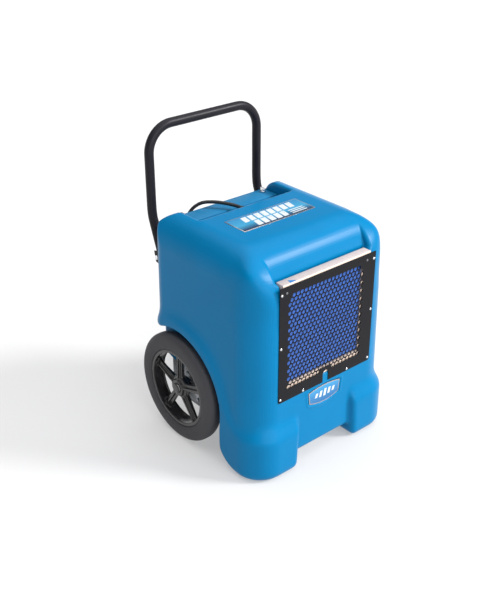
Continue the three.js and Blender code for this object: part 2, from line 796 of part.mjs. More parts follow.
function axleCap(side) {
  const [x0, x1] = span(side, AXLE.outer + GAP, AXLE.outer + GAP + 3);
  return rodX(x0, x1, [WHEEL.y, WHEEL.radius], side > 0 ? 14 : 11, 20, side > 0 ? 11 : 14);
}

const wheelMiddle = (side) => side * (WHEEL.outer - WHEEL.width / 2);
const hubSpan = (side) => span(side, Math.abs(wheelMiddle(side)) - 21, Math.abs(wheelMiddle(side)) + 16);
function tyre(side) {
  const { radius, width, bead } = WHEEL;
  const half = width / 2;
  const points = [
    [bead, -half + 3],
    [bead + 7, -half],
    [radius - 14, -half],
    [radius - 4, -half + 5],
    [radius, -half + 13],
    [radius, half - 13],
    [radius - 4, half - 5],
    [radius - 14, half],
    [bead + 7, half],
    [bead, half - 3],
    [bead, -half + 3],
  ];
  return turnedX(points, [wheelMiddle(side), WHEEL.y, radius], WHEEL.sides);
}

// Moulded rim: a barrel, a hub bored for its bush and five spokes.
function wheelRim(side) {
  const { radius, bead, sides, spokes } = WHEEL;
  const edge = bead - GAP;
  const barrel = [
    [edge - 8, -17],
    [edge, -18],
    [edge, 18],
    [edge - 4, 19],
    [edge - 8, 14],
    [edge - 8, -17],
  ];
  const x = wheelMiddle(side);
  const centre = [WHEEL.y, radius];
  const solids = [turnedX(barrel.map(([r, a]) => [r, a * side]), [x, ...centre], sides)];
  solids.push(rodX(...hubSpan(side), centre, 24, 20));
  for (let i = 0; i < spokes; i++) {
    const spoke = new THREE.BoxGeometry(14, 24, edge - 20);
    spoke.translate(side * 2, 0, 12 + (edge - 20) / 2).rotateX((2 * Math.PI * i) / spokes);
    solids.push(solidOf(spoke.translate(x, ...centre)));
  }
  return cut(join(...solids), rodX(x - 60, x + 60, centre, 12, 20));
}

function wheelBush(side) {
  const x = wheelMiddle(side);
  const centre = [WHEEL.y, WHEEL.radius];
  return cut(rodX(...hubSpan(side), centre, 11.6, 20), rodX(x - 60, x + 60, centre, AXLE.radius + 0.3, 20));
}

// ---------- handle ----------
// The stations of one leg, from its pivot up to its upper corner.
function legPath(side) {
  const x = side * HANDLE.x;
  const { y, z, bend } = HANDLE;
  const lean = 0.357;
  const foot = new THREE.Vector3(x, PIVOT.y - 8 * lean, PIVOT.z - 8);
  const knee = new THREE.Vector3(x, y - 14 * lean, PIVOT.z + (y - 14 * lean - PIVOT.y) / lean);
  const straight = new THREE.Vector3(x, y, knee.z + 46);
  const corner = new THREE.Vector3(x, y, z - bend);
  const turn = new THREE.Vector3(x, y, knee.z + 12);
  return { foot, knee, turn, straight, corner };
}

function handlePath() {
  const left = legPath(-1);
  const right = legPath(1);
  const path = new THREE.CurvePath();
  const { x, y, z, bend } = HANDLE;
  const topLeft = new THREE.Vector3(-x + bend, y, z);
  const topRight = new THREE.Vector3(x - bend, y, z);
  path.add(new THREE.LineCurve3(left.foot, left.knee));
  path.add(new THREE.QuadraticBezierCurve3(left.knee, left.turn, left.straight));
  path.add(new THREE.LineCurve3(left.straight, left.corner));
  path.add(cornerCurve(left.corner, new THREE.Vector3(-x, y, z), topLeft));
  path.add(new THREE.LineCurve3(topLeft, topRight));
  path.add(cornerCurve(topRight, new THREE.Vector3(x, y, z), right.corner));
  path.add(new THREE.LineCurve3(right.corner, right.straight));
  path.add(new THREE.QuadraticBezierCurve3(right.straight, right.turn, right.knee));
  path.add(new THREE.LineCurve3(right.knee, right.foot));
  return path;
}

// A bend close to a quarter circle.
function cornerCurve(start, corner, end) {
  const round = 0.5523;
  const leaving = start.clone().lerp(corner, round);
  const arriving = end.clone().lerp(corner, round);
  return new THREE.CubicBezierCurve3(start, leaving, arriving, end);
}

function handle() {
  const pipe = tube(handlePath(), HANDLE.radius, 48, 5, HANDLE.bore);
  return cut(pipe, rodX(-300, 300, [PIVOT.y, PIVOT.z], PIVOT.bore, 12));
}

// A channel on the rear wall with an ear on each side of the leg.
function handleBracket(side) {
  const x = side * HANDLE.x;
  const reach = HANDLE.radius + 0.8;
  const sheet = 2.5;
  const back = CABINET.rear + GAP;
  const ear = polygon([
    [back, PIVOT.z - 22],
    [PIVOT.y + 10, PIVOT.z - 16],
    [PIVOT.y + 16, PIVOT.z + 14],
    [back, PIVOT.z + 22],
  ]);
  return cut(
    join(
      box([x - reach - sheet, x + reach + sheet], [back, back + sheet], [PIVOT.z - 30, PIVOT.z + 30]),
      prismX(ear, x - reach - sheet, x - reach),
      prismX(ear, x + reach, x + reach + sheet),
    ),
    rodX(x - 40, x + 40, [PIVOT.y, PIVOT.z], PIVOT.bore, 12),
  );
}

function pivotBolt(side) {
  const x = side * HANDLE.x;
  const centre = [PIVOT.y, PIVOT.z];
  const ear = HANDLE.radius + 0.8 + 2.5 + GAP;
  return join(
    rodX(x - ear - 1, x + ear + 1, centre, PIVOT.bolt, 12),
    rodX(x - ear - 5, x - ear, centre, 7, 6),
    rodX(x + ear, x + ear + 5, centre, 7, 12),
  );
}

// ---------- mains lead ----------
function strainRelief() {
  const start = RECESS.front + GAP;
  return join(
    rodY(start, start + 3, [0, CORD.exitZ], 10.5, 16),
    rodY(start - 8, start + 1, [0, CORD.exitZ], 8, 16),
    rodY(start + 2, CORD.exitY - 4, [0, CORD.exitZ], 8.5, 16, 6),
  );
}

// Over the shelf, over the rear edge, straight down the back and along the ground to the winding.
const CORD_ROUTE = [
  [0, 92.4, 600],
  [0, 100, 600],
  [-3, 112, 601],
  [-12, 128, 603],
  [-26, 148, 605],
  [-42, 168, 605],
  [-58, 185, 602],
  [-74, 197, 592],
  [-88, 203, 577],
  [-98, 206, 556],
  [-104, 206.5, 530],
  [-107, 206, 490],
  [-109, 205, 430],
  [-110, 204, 360],
  [-110, 204, 280],
  [-110, 204, 200],
  [-110, 204, 130],
  [-110, 204.5, 80],
  [-109, 208, 48],
  [-105, 218, 24],
  [-95, 230, 10],
  [-78, 239, 5.2],
  [-52, 244, 5.2],
  [-20, 245, 5.2],
  [26, 245, 5.2],
];

function cordRun() {
  return tube(smooth(CORD_ROUTE), CORD.radius, 60, 4);
}

function cordCoil() {
  const { x, y, radius, layers } = WINDING;
  const half = 2 * 2 * CORD.radius;
  const low = 0.3;
  const high = low + layers * 2 * CORD.radius;
  const points = [
    [radius - half, low],
    [radius + half, low],
    [radius + half, high],
    [radius - half, high],
    [radius - half, low],
  ];
  return turnedZ(points, [x, y, 0], 40);
}

function cordTie() {
  const { x, y, radius, layers } = WINDING;
  const half = 4 * CORD.radius + 1.4;
  const top = layers * 2 * CORD.radius + 0.9;
  const wide = 9;
  return cut(
    box([x - wide, x + wide], [y + radius - half - 2, y + radius + half + 2], [0.1, top + 2]),
    box([x - wide - 1, x + wide + 1], [y + radius - half, y + radius + half], [-1, top]),
  );
}

const PLUG = { x: 166, y: 245, z: 14.3 };
function plug() {
  const { x, y, z } = PLUG;
  const spot = [y, z];
  const prongs = [-6.3, 6.3].map((dy) => box([x + 30, x + 48], [y + dy - 0.8, y + dy + 0.8], [z - 3, z + 3]));
  return join(
    rodX(x, x + 14, spot, 6.5, 16, 9),
    rodX(x + 13, x + 31, spot, 14, 16),
    rodX(x + 30, x + 50, [y, z - 8], 2.4, 10),
    ...prongs,
  );
}

// ---------- nodes ----------
add("housing", housing(), FINISH.cabinet);
add("rear_panel", rearPanel(), FINISH.cabinet);
add("exhaust_grille", exhaustGrille(), FINISH.blackSteel);
add("intake_grille", intakeGrille(), FINISH.blackSteel);
add(
  "label_plate",
  box(
    [-LABEL.halfWidth, LABEL.halfWidth],
    [LABEL.front, LABEL.rear],
    [CABINET.top + GAP, CABINET.top + GAP + LABEL.thickness],
  ),
  FINISH.label,
);
add("badge", prismY(badgeOutline(0), CABINET.front, CABINET.front + BADGE.depth - GAP), FINISH.label);
add("filter_frame", filterFrame(), FINISH.card);
add("filter_media", filterMedia(), FINISH.media);
add("evaporator_coil", finnedCoil(EVAPORATOR_FRONT), FINISH.aluminium);
add("condenser_coil", finnedCoil(CONDENSER_FRONT), FINISH.aluminium);
add("drain_pan", drainPan(), FINISH.blackPlastic);
add("compressor", compressor(), FINISH.blackSteel);
MOUNT_SPOTS.forEach((spot, i) => add(`compressor_mount_${i + 1}`, compressorMount(spot), FINISH.blackRubber));
add("accumulator", accumulator(), FINISH.blackSteel);
add("suction_line", suctionLine(), FINISH.copper);
add("discharge_line", dischargeLine(), FINISH.copper);
add("fan_shroud", fanShroud(), FINISH.galvanised);
add("motor_bracket", motorBracket(), FINISH.galvanised);
add("fan_motor", fanMotor(), FINISH.blackSteel);
add("fan_shaft", fanShaft(), FINISH.bright);
add("fan_blade", fanBlade(), FINISH.aluminium);
add("pump_tank", pumpTank(), FINISH.blackPlastic);
add("pump_motor", pumpMotor(), FINISH.blackPlastic);
add("pan_hose", panHose(), FINISH.blackRubber);
add("drain_fitting", drainFitting(), FINISH.bright);
add("control_box", controlBox(), FINISH.galvanised);
add("control_board", controlBoard(), FINISH.blackPlastic);
add("control_panel", controlPanel(), FINISH.blackPlastic);
add(
  "display_window",
  box([-26, 34], [CONTROL_FACE + GAP, CONTROL_FACE + GAP + 1.6], [512, 536]),
  FINISH.display,
);
BUTTON.x.forEach((x, i) => add(`button_${i + 1}`, button(x), FINISH.rubber));
add("power_rocker", powerRocker(), FINISH.red);
add("base_frame", baseFrame(), FINISH.galvanised);
for (const [name, side] of bothSides) {
  add(`panel_latch_${name}`, panelLatch(side), FINISH.bright);
  add(`axle_bracket_${name}`, axleBracket(side), FINISH.galvanised);
  add(`axle_${name}`, axle(side), FINISH.bright);
  add(`axle_cap_${name}`, axleCap(side), FINISH.blackPlastic);
  add(`wheel_rim_${name}`, wheelRim(side), FINISH.blackPlastic);
  add(`tyre_${name}`, tyre(side), FINISH.rubber);
  add(`wheel_bush_${name}`, wheelBush(side), FINISH.card);
  add(`handle_bracket_${name}`, handleBracket(side), FINISH.blackSteel);
  add(`pivot_bolt_${name}`, pivotBolt(side), FINISH.bright);
}
add("handle", handle(), FINISH.blackSteel);
add("strain_relief", strainRelief(), FINISH.blackRubber);
add("cord_run", cordRun(), FINISH.blackRubber);
add("cord_coil", cordCoil(), FINISH.blackRubber);
add("cord_tie", cordTie(), FINISH.blackPlastic);
add("plug", plug(), FINISH.blackRubber);

export default dehumidifier;
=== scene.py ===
import math

import bmesh
import bpy
import numpy as np
from mathutils import Matrix, Vector
from mathutils.geometry import delaunay_2d_cdt


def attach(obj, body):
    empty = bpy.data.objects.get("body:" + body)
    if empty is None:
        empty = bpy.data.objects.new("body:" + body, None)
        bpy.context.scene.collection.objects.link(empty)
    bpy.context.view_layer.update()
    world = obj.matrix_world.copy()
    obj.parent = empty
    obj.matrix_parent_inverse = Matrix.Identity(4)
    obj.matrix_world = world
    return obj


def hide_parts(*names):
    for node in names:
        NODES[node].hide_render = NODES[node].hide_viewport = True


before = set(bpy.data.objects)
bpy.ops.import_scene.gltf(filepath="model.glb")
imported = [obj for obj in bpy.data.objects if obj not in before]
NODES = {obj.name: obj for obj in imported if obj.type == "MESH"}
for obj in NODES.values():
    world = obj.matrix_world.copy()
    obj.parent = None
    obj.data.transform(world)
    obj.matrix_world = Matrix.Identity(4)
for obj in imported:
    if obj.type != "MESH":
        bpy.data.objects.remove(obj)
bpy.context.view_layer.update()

MM = 0.001
TAU = 2 * math.pi
SIDES = ("left", "right")


# ---------- camera ----------
def make_camera():
    data = bpy.data.cameras.new("camera")
    data.sensor_fit = "VERTICAL"
    data.sensor_height = 36.0
    data.lens = 56.1
    data.clip_end = 60.0
    camera = bpy.data.objects.new("camera", data)
    camera.location = (-1.4712, -1.6490, 1.5483)
    camera.rotation_euler = (math.radians(90 - 28.21), 0, math.radians(-40.74))
    bpy.context.scene.collection.objects.link(camera)
    bpy.context.scene.camera = camera


make_camera()


# ---------- meshes ----------
def linked(name, mesh):
    """An object of the scene with the given mesh."""
    made = bpy.data.objects.new(name, mesh)
    bpy.context.scene.collection.objects.link(made)
    return made


def add_object(name, verts, faces, smooth=True):
    mesh = bpy.data.meshes.new(name)
    mesh.from_pydata([tuple(v) for v in verts], [], [tuple(f) for f in faces])
    mesh.validate()
    mesh.update()
    mesh.polygons.foreach_set("use_smooth", [smooth] * len(mesh.polygons))
    return linked(name, mesh)


def place(piece, body, material, slot, *replaced):
    """Puts a piece on its body with its material, in place of the CAD nodes it stands for."""
    piece.data.materials.clear()
    for one in material if isinstance(material, (list, tuple)) else [material]:
        piece.data.materials.append(one)
    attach(piece, body)
    if replaced:
        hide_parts(*replaced)
    return piece


def apply_modifiers(piece):
    depsgraph = bpy.context.evaluated_depsgraph_get()
    done = bpy.data.meshes.new_from_object(piece.evaluated_get(depsgraph))
    piece.modifiers.clear()
    piece.data = done


def outward(piece, merge=0.0):
    """Merges corners nearer than merge, if given, and turns a closed mesh's faces outwards."""
    bm = bmesh.new()
    bm.from_mesh(piece.data)
    if merge:
        bmesh.ops.remove_doubles(bm, verts=bm.verts, dist=merge)
    bmesh.ops.recalc_face_normals(bm, faces=bm.faces)
    bm.to_mesh(piece.data)
    bm.free()
    return piece


def auto_smooth(piece, degrees):
    """Smooth shading, with the edges sharper than the angle left sharp."""
    mesh = piece.data
    bm = bmesh.new()
    bm.from_mesh(mesh)
    limit = math.radians(degrees)
    for face in bm.faces:
        face.smooth = True
    for edge in bm.edges:
        edge.smooth = len(edge.link_faces) == 2 and edge.calc_face_angle(0) < limit
    bm.to_mesh(mesh)
    bm.free()
    return piece


def softened(piece, width):
    """Rounds the piece's edges and evens its shading."""
    bevel = piece.modifiers.new("bevel", "BEVEL")
    bevel.width = width
    bevel.segments = 2
    bevel.limit_method = "ANGLE"
    bevel.angle_limit = math.radians(30)
    bevel.use_clamp_overlap = True
    apply_modifiers(piece)
    return auto_smooth(piece, 40)


def swept(name, points, radius, sides):
    """A round tube with flat ends along a line of points."""
    line = np.array(points, float)
    along = np.gradient(line, axis=0)
    along /= np.linalg.norm(along, axis=1)[:, None]
    side = np.cross(along[0], [0, 0, 1] if abs(along[0][2]) < 0.9 else [1, 0, 0])
    sideways = []
    for tangent in along:
        side = side - tangent * (side @ tangent)
        side /= np.linalg.norm(side)
        sideways.append(side)
    across = np.array(sideways)
    upward = np.cross(along, across)
    turn = np.arange(sides) * TAU / sides
    cosine, sine = np.cos(turn)[None, :, None], np.sin(turn)[None, :, None]
    ring = across[:, None] * cosine + upward[:, None] * sine
    verts = (line[:, None] + ring * radius).reshape(-1, 3)
    faces = []
    for i in range(len(line) - 1):
        for j in range(sides):
            k = (j + 1) % sides
            faces.append((i * sides + j, i * sides + k, (i + 1) * sides + k, (i + 1) * sides + j))
    faces.append(tuple(range(sides))[::-1])
    faces.append(tuple(range((len(line) - 1) * sides, len(line) * sides)))
    return add_object(name, verts, faces)


def lathe(name, profile, origin, axis, sides, closed=True):
    """A profile of (radius, distance along the axis), in metres, turned about that axis."""
    axis = Vector(axis).normalized()
    first = axis.orthogonal().normalized()
    second = axis.cross(first)
    count = len(profile)
    verts = []
    for i in range(sides):
        turn = TAU * i / sides
        ray = first * math.cos(turn) + second * math.sin(turn)
        verts += [Vector(origin) + ray * r + axis * a for r, a in profile]
    faces = []
    steps = count if closed else count - 1
    for i in range(sides):
        j = (i + 1) % sides
        for k in range(steps):
            n = (k + 1) % count
            faces.append((i * count + k, j * count + k, j * count + n, i * count + n))
    return outward(add_object(name, verts, faces), 1e-7)


def in_metres(outline):
    """Pairs of millimetres as pairs of metres."""
    return [(u * MM, v * MM) for u, v in outline]


def joined(name, *pieces):
    """Several meshes as one object."""
    bm = bmesh.new()
    for piece in pieces:
        piece.data.transform(piece.matrix_world)
        bm.from_mesh(piece.data)
        mesh = piece.data
        bpy.data.objects.remove(piece)
        bpy.data.meshes.remove(mesh)
    mesh = bpy.data.meshes.new(name)
    bm.to_mesh(mesh)
    bm.free()
    return linked(name, mesh)


def slab(name, corners, low, high, axis="z"):
    """An outline of two coordinates pushed from low to high along the third axis, which is Z or Y."""

    def point(u, v, w):
        return (u, v, w) if axis == "z" else (u, w, v)

    count = len(corners)
    verts = [point(u, v, low) for u, v in corners] + [point(u, v, high) for u, v in corners]
    faces = [tuple(range(count)), tuple(range(2 * count - 1, count - 1, -1))]
    faces += [(i, (i + 1) % count, count + (i + 1) % count, count + i) for i in range(count)]
    return outward(add_object(name, verts, faces, smooth=False))


def rounded_rectangle(x0, x1, y0, y1, radius, steps):
    """Corners of a rectangle with rounded corners, counter-clockwise."""
    points = []
    centres = ((x1, y0, -0.25, -1, 1), (x1, y1, 0, -1, -1), (x0, y1, 0.25, 1, -1), (x0, y0, 0.5, 1, 1))
    for x, y, start, dx, dy in centres:
        for i in range(steps + 1):
            turn = TAU * (start + 0.25 * i / steps)
            across, up = radius * math.cos(turn), radius * math.sin(turn)
            points.append((x + dx * radius + across, y + dy * radius + up))
    return points


def curve_through(points, step):
    """A smooth line through given points (centripetal Catmull-Rom), about a step apart."""
    given = np.array(points, float)
    given = np.vstack([2 * given[0] - given[1], given, 2 * given[-1] - given[-2]])
    out = []
    for i in range(1, len(given) - 2):
        p = given[i - 1 : i + 3]
        t = np.concatenate([[0], np.cumsum(np.sqrt(np.linalg.norm(np.diff(p, axis=0), axis=1)))])
        count = max(2, round(np.linalg.norm(p[2] - p[1]) / step))
        s = np.linspace(t[1], t[2], count, endpoint=False)[:, None]
        a = [((t[k + 1] - s) * p[k] + (s - t[k]) * p[k + 1]) / (t[k + 1] - t[k]) for k in range(3)]
        b = [((t[k + 2] - s) * a[k] + (s - t[k]) * a[k + 1]) / (t[k + 2] - t[k]) for k in range(2)]
        out.append(((t[2] - s) * b[0] + (s - t[1]) * b[1]) / (t[2] - t[1]))
    return np.vstack(out + [given[-2:-1]])


# ---------- materials ----------
def node_tree(name):
    """A new material with its nodes, its links, its shader and a texture-coordinate node."""
    made = bpy.data.materials.new(name)
    made.use_nodes = True
    nodes = made.node_tree.nodes
    return made, nodes, made.node_tree.links, nodes["Principled BSDF"], nodes.new("ShaderNodeTexCoord")


def give(node, **values):
    """Sets inputs by name; an underscore stands for a blank."""
    for key, value in values.items():
        node.inputs[key.replace("_", " ")].default_value = value


def set_stops(node, stops):
    """Fills a colour ramp; its own two elements take the first two stops."""
    for i, (at, colour) in enumerate(stops):
        element = node.color_ramp.elements[i] if i < 2 else node.color_ramp.elements.new(at)
        element.position = at
        element.color = (*colour, 1)


def surface(
    name,
    color,
    roughness=0.5,
    metallic=0.0,
    *,
    scale=60.0,
    variation=0.06,
    spread=0.06,
    bump=0.05,
    bump_scale=900.0,
    stretch=(1, 1, 1),
    coat=0.0,
    sheen=0.0,
    specular=0.5,
):
    """A shader whose colour, roughness and height vary with noise in the object's own space."""
    made, nodes, links, shader, space = node_tree(name)
    give(shader, Metallic=metallic, Coat_Weight=coat, Coat_Roughness=0.12, Sheen_Weight=sheen)
    shader.inputs["Specular IOR Level"].default_value = specular
    mapping = nodes.new("ShaderNodeMapping")
    give(mapping, Scale=stretch)
    links.new(space.outputs["Object"], mapping.inputs["Vector"])
    patches = nodes.new("ShaderNodeTexNoise")
    give(patches, Scale=scale, Detail=4)
    links.new(mapping.outputs["Vector"], patches.inputs["Vector"])
    tint = nodes.new("ShaderNodeValToRGB")
    darker = [c * (1 - variation) for c in color]
    lighter = [min(1, c * (1 + variation)) for c in color]
    set_stops(tint, [(0.3, darker), (0.7, lighter)])
    links.new(patches.outputs["Fac"], tint.inputs["Fac"])
    links.new(tint.outputs["Color"], shader.inputs["Base Color"])
    gloss = nodes.new("ShaderNodeMapRange")
    give(gloss, From_Min=0.3, From_Max=0.7)
    give(gloss, To_Min=max(0.02, roughness - spread), To_Max=min(1.0, roughness + spread))
    links.new(patches.outputs["Fac"], gloss.inputs["Value"])
    links.new(gloss.outputs["Result"], shader.inputs["Roughness"])
    if bump:
        grain = nodes.new("ShaderNodeTexNoise")
        give(grain, Scale=bump_scale, Detail=3)
        links.new(mapping.outputs["Vector"], grain.inputs["Vector"])
        height = nodes.new("ShaderNodeBump")
        give(height, Strength=bump, Distance=0.0005)
        links.new(grain.outputs["Fac"], height.inputs["Height"])
        links.new(height.outputs["Normal"], shader.inputs["Normal"])
    return made


POLY_BLUE = surface(
    "poly_blue", (0.0, 0.150, 0.335), 0.31, scale=9, variation=0.03, spread=0.02, bump=0.10,
    bump_scale=420, specular=0.10
)
PANEL_BLUE = surface(
    "panel_blue", (0.004, 0.150, 0.32), 0.45, scale=12, variation=0.03, bump=0.12, bump_scale=700,
    specular=0.3
)
BLACK_PAINT = surface(
    "black_paint", (0.006, 0.006, 0.008), 0.45, scale=20, variation=0.15, bump=0.15, bump_scale=1100,
    specular=0.14
)
HANDLE_BLACK = surface(
    "handle_black", (0.010, 0.009, 0.013), 0.40, scale=25, variation=0.15, bump=0.10, specular=0.16
)
BLACK_PLASTIC = surface(
    "black_plastic", (0.02, 0.02, 0.02), 0.42, scale=40, variation=0.1, bump=0.15, bump_scale=1500
)
RIM_BLACK = surface(
    "rim_black", (0.012, 0.011, 0.012), 0.2, scale=40, variation=0.1, bump=0.04, bump_scale=600,
    coat=0.3
)
TYRE_GREY = surface(
    "tyre_grey", (0.030, 0.030, 0.035), 0.66, scale=35, variation=0.12, bump=0.25, bump_scale=1400
)
RUBBER = surface("rubber", (0.014, 0.014, 0.014), 0.55, variation=0.1, bump=0.15, bump_scale=1800)
CORD_BLACK = surface(
    "cord_black", (0.012, 0.012, 0.013), 0.4, scale=80, variation=0.1, bump=0.1, bump_scale=1500
)
GALVANISED = surface(
    "galvanised", (0.44, 0.46, 0.49), 0.40, 0.85, scale=90, variation=0.10, bump_scale=500
)
DULL_ZINC = surface("dull_zinc", (0.16, 0.16, 0.17), 0.5, 0.5, scale=90, variation=0.1)
BRIGHT_STEEL = surface(
    "bright_steel", (0.72, 0.73, 0.75), 0.16, 1.0, scale=120, variation=0.05, bump=0.03
)
ALUMINIUM = surface("aluminium", (0.62, 0.63, 0.65), 0.35, 0.9, variation=0.08, stretch=(1, 1, 6))
COPPER = surface(
    "copper", (0.72, 0.31, 0.16), 0.28, 1.0, scale=70, variation=0.15, spread=0.12, bump=0.04
)
ENAMEL = surface(
    "black_enamel", (0.015, 0.015, 0.016), 0.28, scale=30, variation=0.12, bump=0.06, coat=0.2
)
WHITE_PLASTIC = surface("white_plastic", (0.72, 0.72, 0.69), 0.45, scale=40, variation=0.04, bump=0.1)
BRASS = surface("brass", (0.68, 0.47, 0.2), 0.28, 1.0, scale=70, variation=0.1, bump=0.04)
BOARD_GREEN = surface("board_green", (0.02, 0.13, 0.06), 0.4, scale=90, variation=0.2, bump=0.1)
DISPLAY = surface("display", (0.012, 0.02, 0.02), 0.08, scale=30, variation=0.1, bump=0.0, coat=0.5)
BUTTON_GREY = surface("button_grey", (0.06, 0.065, 0.08), 0.6, scale=80, variation=0.08, bump=0.15)
ROCKER_RED = surface("rocker_red", (0.5, 0.015, 0.012), 0.25, bump=0.03, coat=0.3)
# Filter card: the front face has the card's cream colour; the top, sides and back take a darker copy of
# it, painted shade standing in for less light than the overhead lamp gives.
CARD_PAINTED_SHADE = surface("card", (0.44, 0.38, 0.37), 0.8, scale=90, variation=0.05, bump=0.3, bump_scale=1200)
CARD_FACE = surface(
    "card_face", (0.88, 0.70, 0.58), 0.8, scale=90, variation=0.05, bump=0.3, bump_scale=1200
)
MEDIA = surface(
    "media", (0.028, 0.120, 0.48), 0.85, scale=260, variation=0.25, bump=0.9, bump_scale=1500,
    sheen=0.2
)
TIE_BLACK = surface(
    "tie_black", (0.02, 0.02, 0.022), 0.85, scale=400, variation=0.3, bump=0.8, bump_scale=2200,
    sheen=0.4
)
SILVER_FOIL = surface("silver_foil", (0.55, 0.5, 0.48), 0.25, 0.9, variation=0.12, stretch=(8, 1, 1))
WHITE_INK = surface("white_ink", (0.56, 0.60, 0.62), 0.3, scale=40, variation=0.03)
BLUE_INK = surface("blue_ink", (0.012, 0.16, 0.42), 0.25, scale=40, variation=0.05)


# ---------- mains lead ----------
CORD_DIAMETER = 0.0095
CORD_RADIUS = CORD_DIAMETER / 2
CORD_EXIT = (0, 0.092, 0.600)
CORD_ROUTE = [
    CORD_EXIT, (0, 0.100, 0.600), (-0.003, 0.112, 0.601), (-0.012, 0.128, 0.603),
    (-0.026, 0.148, 0.605), (-0.042, 0.168, 0.605), (-0.058, 0.185, 0.602), (-0.074, 0.197, 0.592),
    (-0.088, 0.203, 0.577), (-0.098, 0.206, 0.556), (-0.104, 0.2065, 0.530), (-0.107, 0.206, 0.490),
    (-0.109, 0.205, 0.430), (-0.110, 0.204, 0.360), (-0.110, 0.204, 0.280), (-0.110, 0.204, 0.200),
    (-0.110, 0.204, 0.130), (-0.110, 0.2045, 0.080), (-0.109, 0.208, 0.048), (-0.105, 0.218, 0.024),
    (-0.095, 0.230, 0.010), (-0.078, 0.239, 0.0052), (-0.052, 0.244, 0.0052), (-0.020, 0.245, 0.0052),
    (0.026, 0.245, 0.0052), (0.058, 0.245, 0.0052),
]
COIL_CENTRE = (0.070, 0.32925)
COIL_RADIUS = 0.070
COIL_COLUMNS = 4
COIL_LAYERS = 4
COIL_TURNS = 15
SHIFT = 40.0  # degrees in which a turn moves over by one place


def coil_stations():
    """Stretches of the winding: from and to in degrees, in columns and in layers."""
    stretches = []
    at, column, way = 0.0, 0, 1
    for layer in range(COIL_LAYERS):
        for k in range(COIL_COLUMNS - 1):
            hold = 360 - SHIFT if k else (290.0 if layer == 0 else 280.0)
            stretches.append((at, at + hold, column, column, layer, layer))
            at += hold
            stretches.append((at, at + SHIFT, column, column + way, layer, layer))
            at += SHIFT
            column += way
        stretches.append((at, at + 280.0, column, column, layer, layer))
        at += 280.0
        if layer < COIL_LAYERS - 1:
            stretches.append((at, at + SHIFT, column, column, layer, layer + 1))
            at += SHIFT
            way = -way
    return stretches


def coil_line():
    """The winding's centreline, from the outside of its lowest layer to the outside of its highest."""
    stretches = coil_stations()
    points = []
    step = 9.0
    for turn in np.arange(step, COIL_TURNS * 360 - 1, step):
        a, b, c0, c1, l0, l1 = next(s for s in stretches if s[0] <= turn <= s[1])
        t = (turn - a) / (b - a)
        t = t * t * (3 - 2 * t)
        radius = COIL_RADIUS + ((COIL_COLUMNS - 1) / 2 - c0 - (c1 - c0) * t) * CORD_DIAMETER
        angle = math.radians(turn - 90)
        x = COIL_CENTRE[0] + radius * math.cos(angle)
        y = COIL_CENTRE[1] + radius * math.sin(angle)
        points.append((x, y, 0.3 * MM + CORD_RADIUS + (l0 + (l1 - l0) * t) * CORD_DIAMETER))
    return points


PLUG_AT = (0.166, 0.245, 0.0143)
CORD_TAIL = [
    (0.070, 0.245, 0.03355), (0.090, 0.245, 0.0336), (0.110, 0.245, 0.0325), (0.130, 0.245, 0.0260),
    (0.148, 0.245, 0.0175), (0.160, 0.245, 0.0147), PLUG_AT,
]


def make_cord():
    """The lead as one tube, its centreline and its length."""
    route = curve_through(CORD_ROUTE, 0.010)
    tail = curve_through(CORD_TAIL, 0.008)
    line = np.vstack([route, [(0.070, 0.245, 0.0052)], coil_line(), tail])
    long = float(np.linalg.norm(np.diff(line, axis=0), axis=1).sum())
    return swept("mains_lead", line, CORD_RADIUS, sides=12), line, long


mains_lead, cord_line, cord_length = make_cord()
place(mains_lead, "cabinet", CORD_BLACK, "cord", "cord_run", "cord_coil")


def make_strain_relief():
    """A tapered, ribbed grommet on the step wall."""
    start = 70.3
    profile = [(0.5, -7.6), (7.6, -7.6), (8.0, -7.0), (8.0, -0.5)]
    profile += [(10.0, -0.4), (10.5, 0.2), (10.5, 2.4), (9.8, 3.0)]
    end = 21.7
    ribs = 5
    for i in range(ribs):
        a = 4.0 + (end - 5.5) * i / ribs
        b = a + (end - 5.5) / ribs
        outer = 8.6 - 2.2 * i / ribs
        profile += [(outer, a), (outer, b - 1.4), (outer - 1.0, b - 1.1), (outer - 1.0, b - 0.3)]
    profile += [(6.2, end - 1.2), (5.9, end), (4.9, end), (4.9, end - 2), (0.5, end - 2)]
    at = (0, start * MM, CORD_EXIT[2])
    return auto_smooth(lathe("strain_relief_ribbed", in_metres(profile), at, (0, 1, 0), 40), 50)


strain_relief = place(make_strain_relief(), "cabinet", RUBBER, "black_rubber", "strain_relief")


def make_plug():
    """A moulded plug: ribbed tail, rounded body with a grip, two blades and an earth pin."""
    x, y, z = (value / MM for value in PLUG_AT)
    along = (1, 0, 0)
    profile = [(4.8, 0), (6.2, 0), (6.5, 0.8)]
    for i in range(4):
        a = 1.6 + 2.7 * i
        r = 6.6 + 0.5 * i
        profile += [(r, a), (r, a + 1.5), (r - 0.9, a + 1.8), (r - 0.9, a + 2.4)]
    profile += [(9.2, 13.0), (12.6, 14.6), (13.6, 16.5), (12.9, 19.5), (12.9, 24.5)]
    profile += [(13.9, 27.0), (14.0, 30.2), (13.5, 31.0), (0.4, 31.0), (0.4, 0.5), (4.8, 0.5)]
    body = lathe("plug_body", in_metres(profile), (x * MM, y * MM, z * MM), along, 40)
    auto_smooth(body, 50)
    metal = []
    for side in (-6.3, 6.3):
        outline = in_metres(rounded_rectangle(x + 30, x + 48, z - 3, z + 3, 1.2, 3))
        near, far = (y + side - 0.8) * MM, (y + side + 0.8) * MM
        metal.append(slab(f"blade_{side}", outline, near, far, "y"))
    pin = in_metres([(0.0, 30), (2.4, 30), (2.4, 48), (1.6, 50), (0.0, 50)])
    metal.append(lathe("earth_pin", pin, (x * MM, y * MM, (z - 8) * MM), along, 20, closed=False))
    return body, joined("plug_blades", *metal)


plug_body, plug_blades = make_plug()
place(plug_body, "cabinet", RUBBER, "plug", "plug")
place(plug_blades, "cabinet", BRASS, "brass")


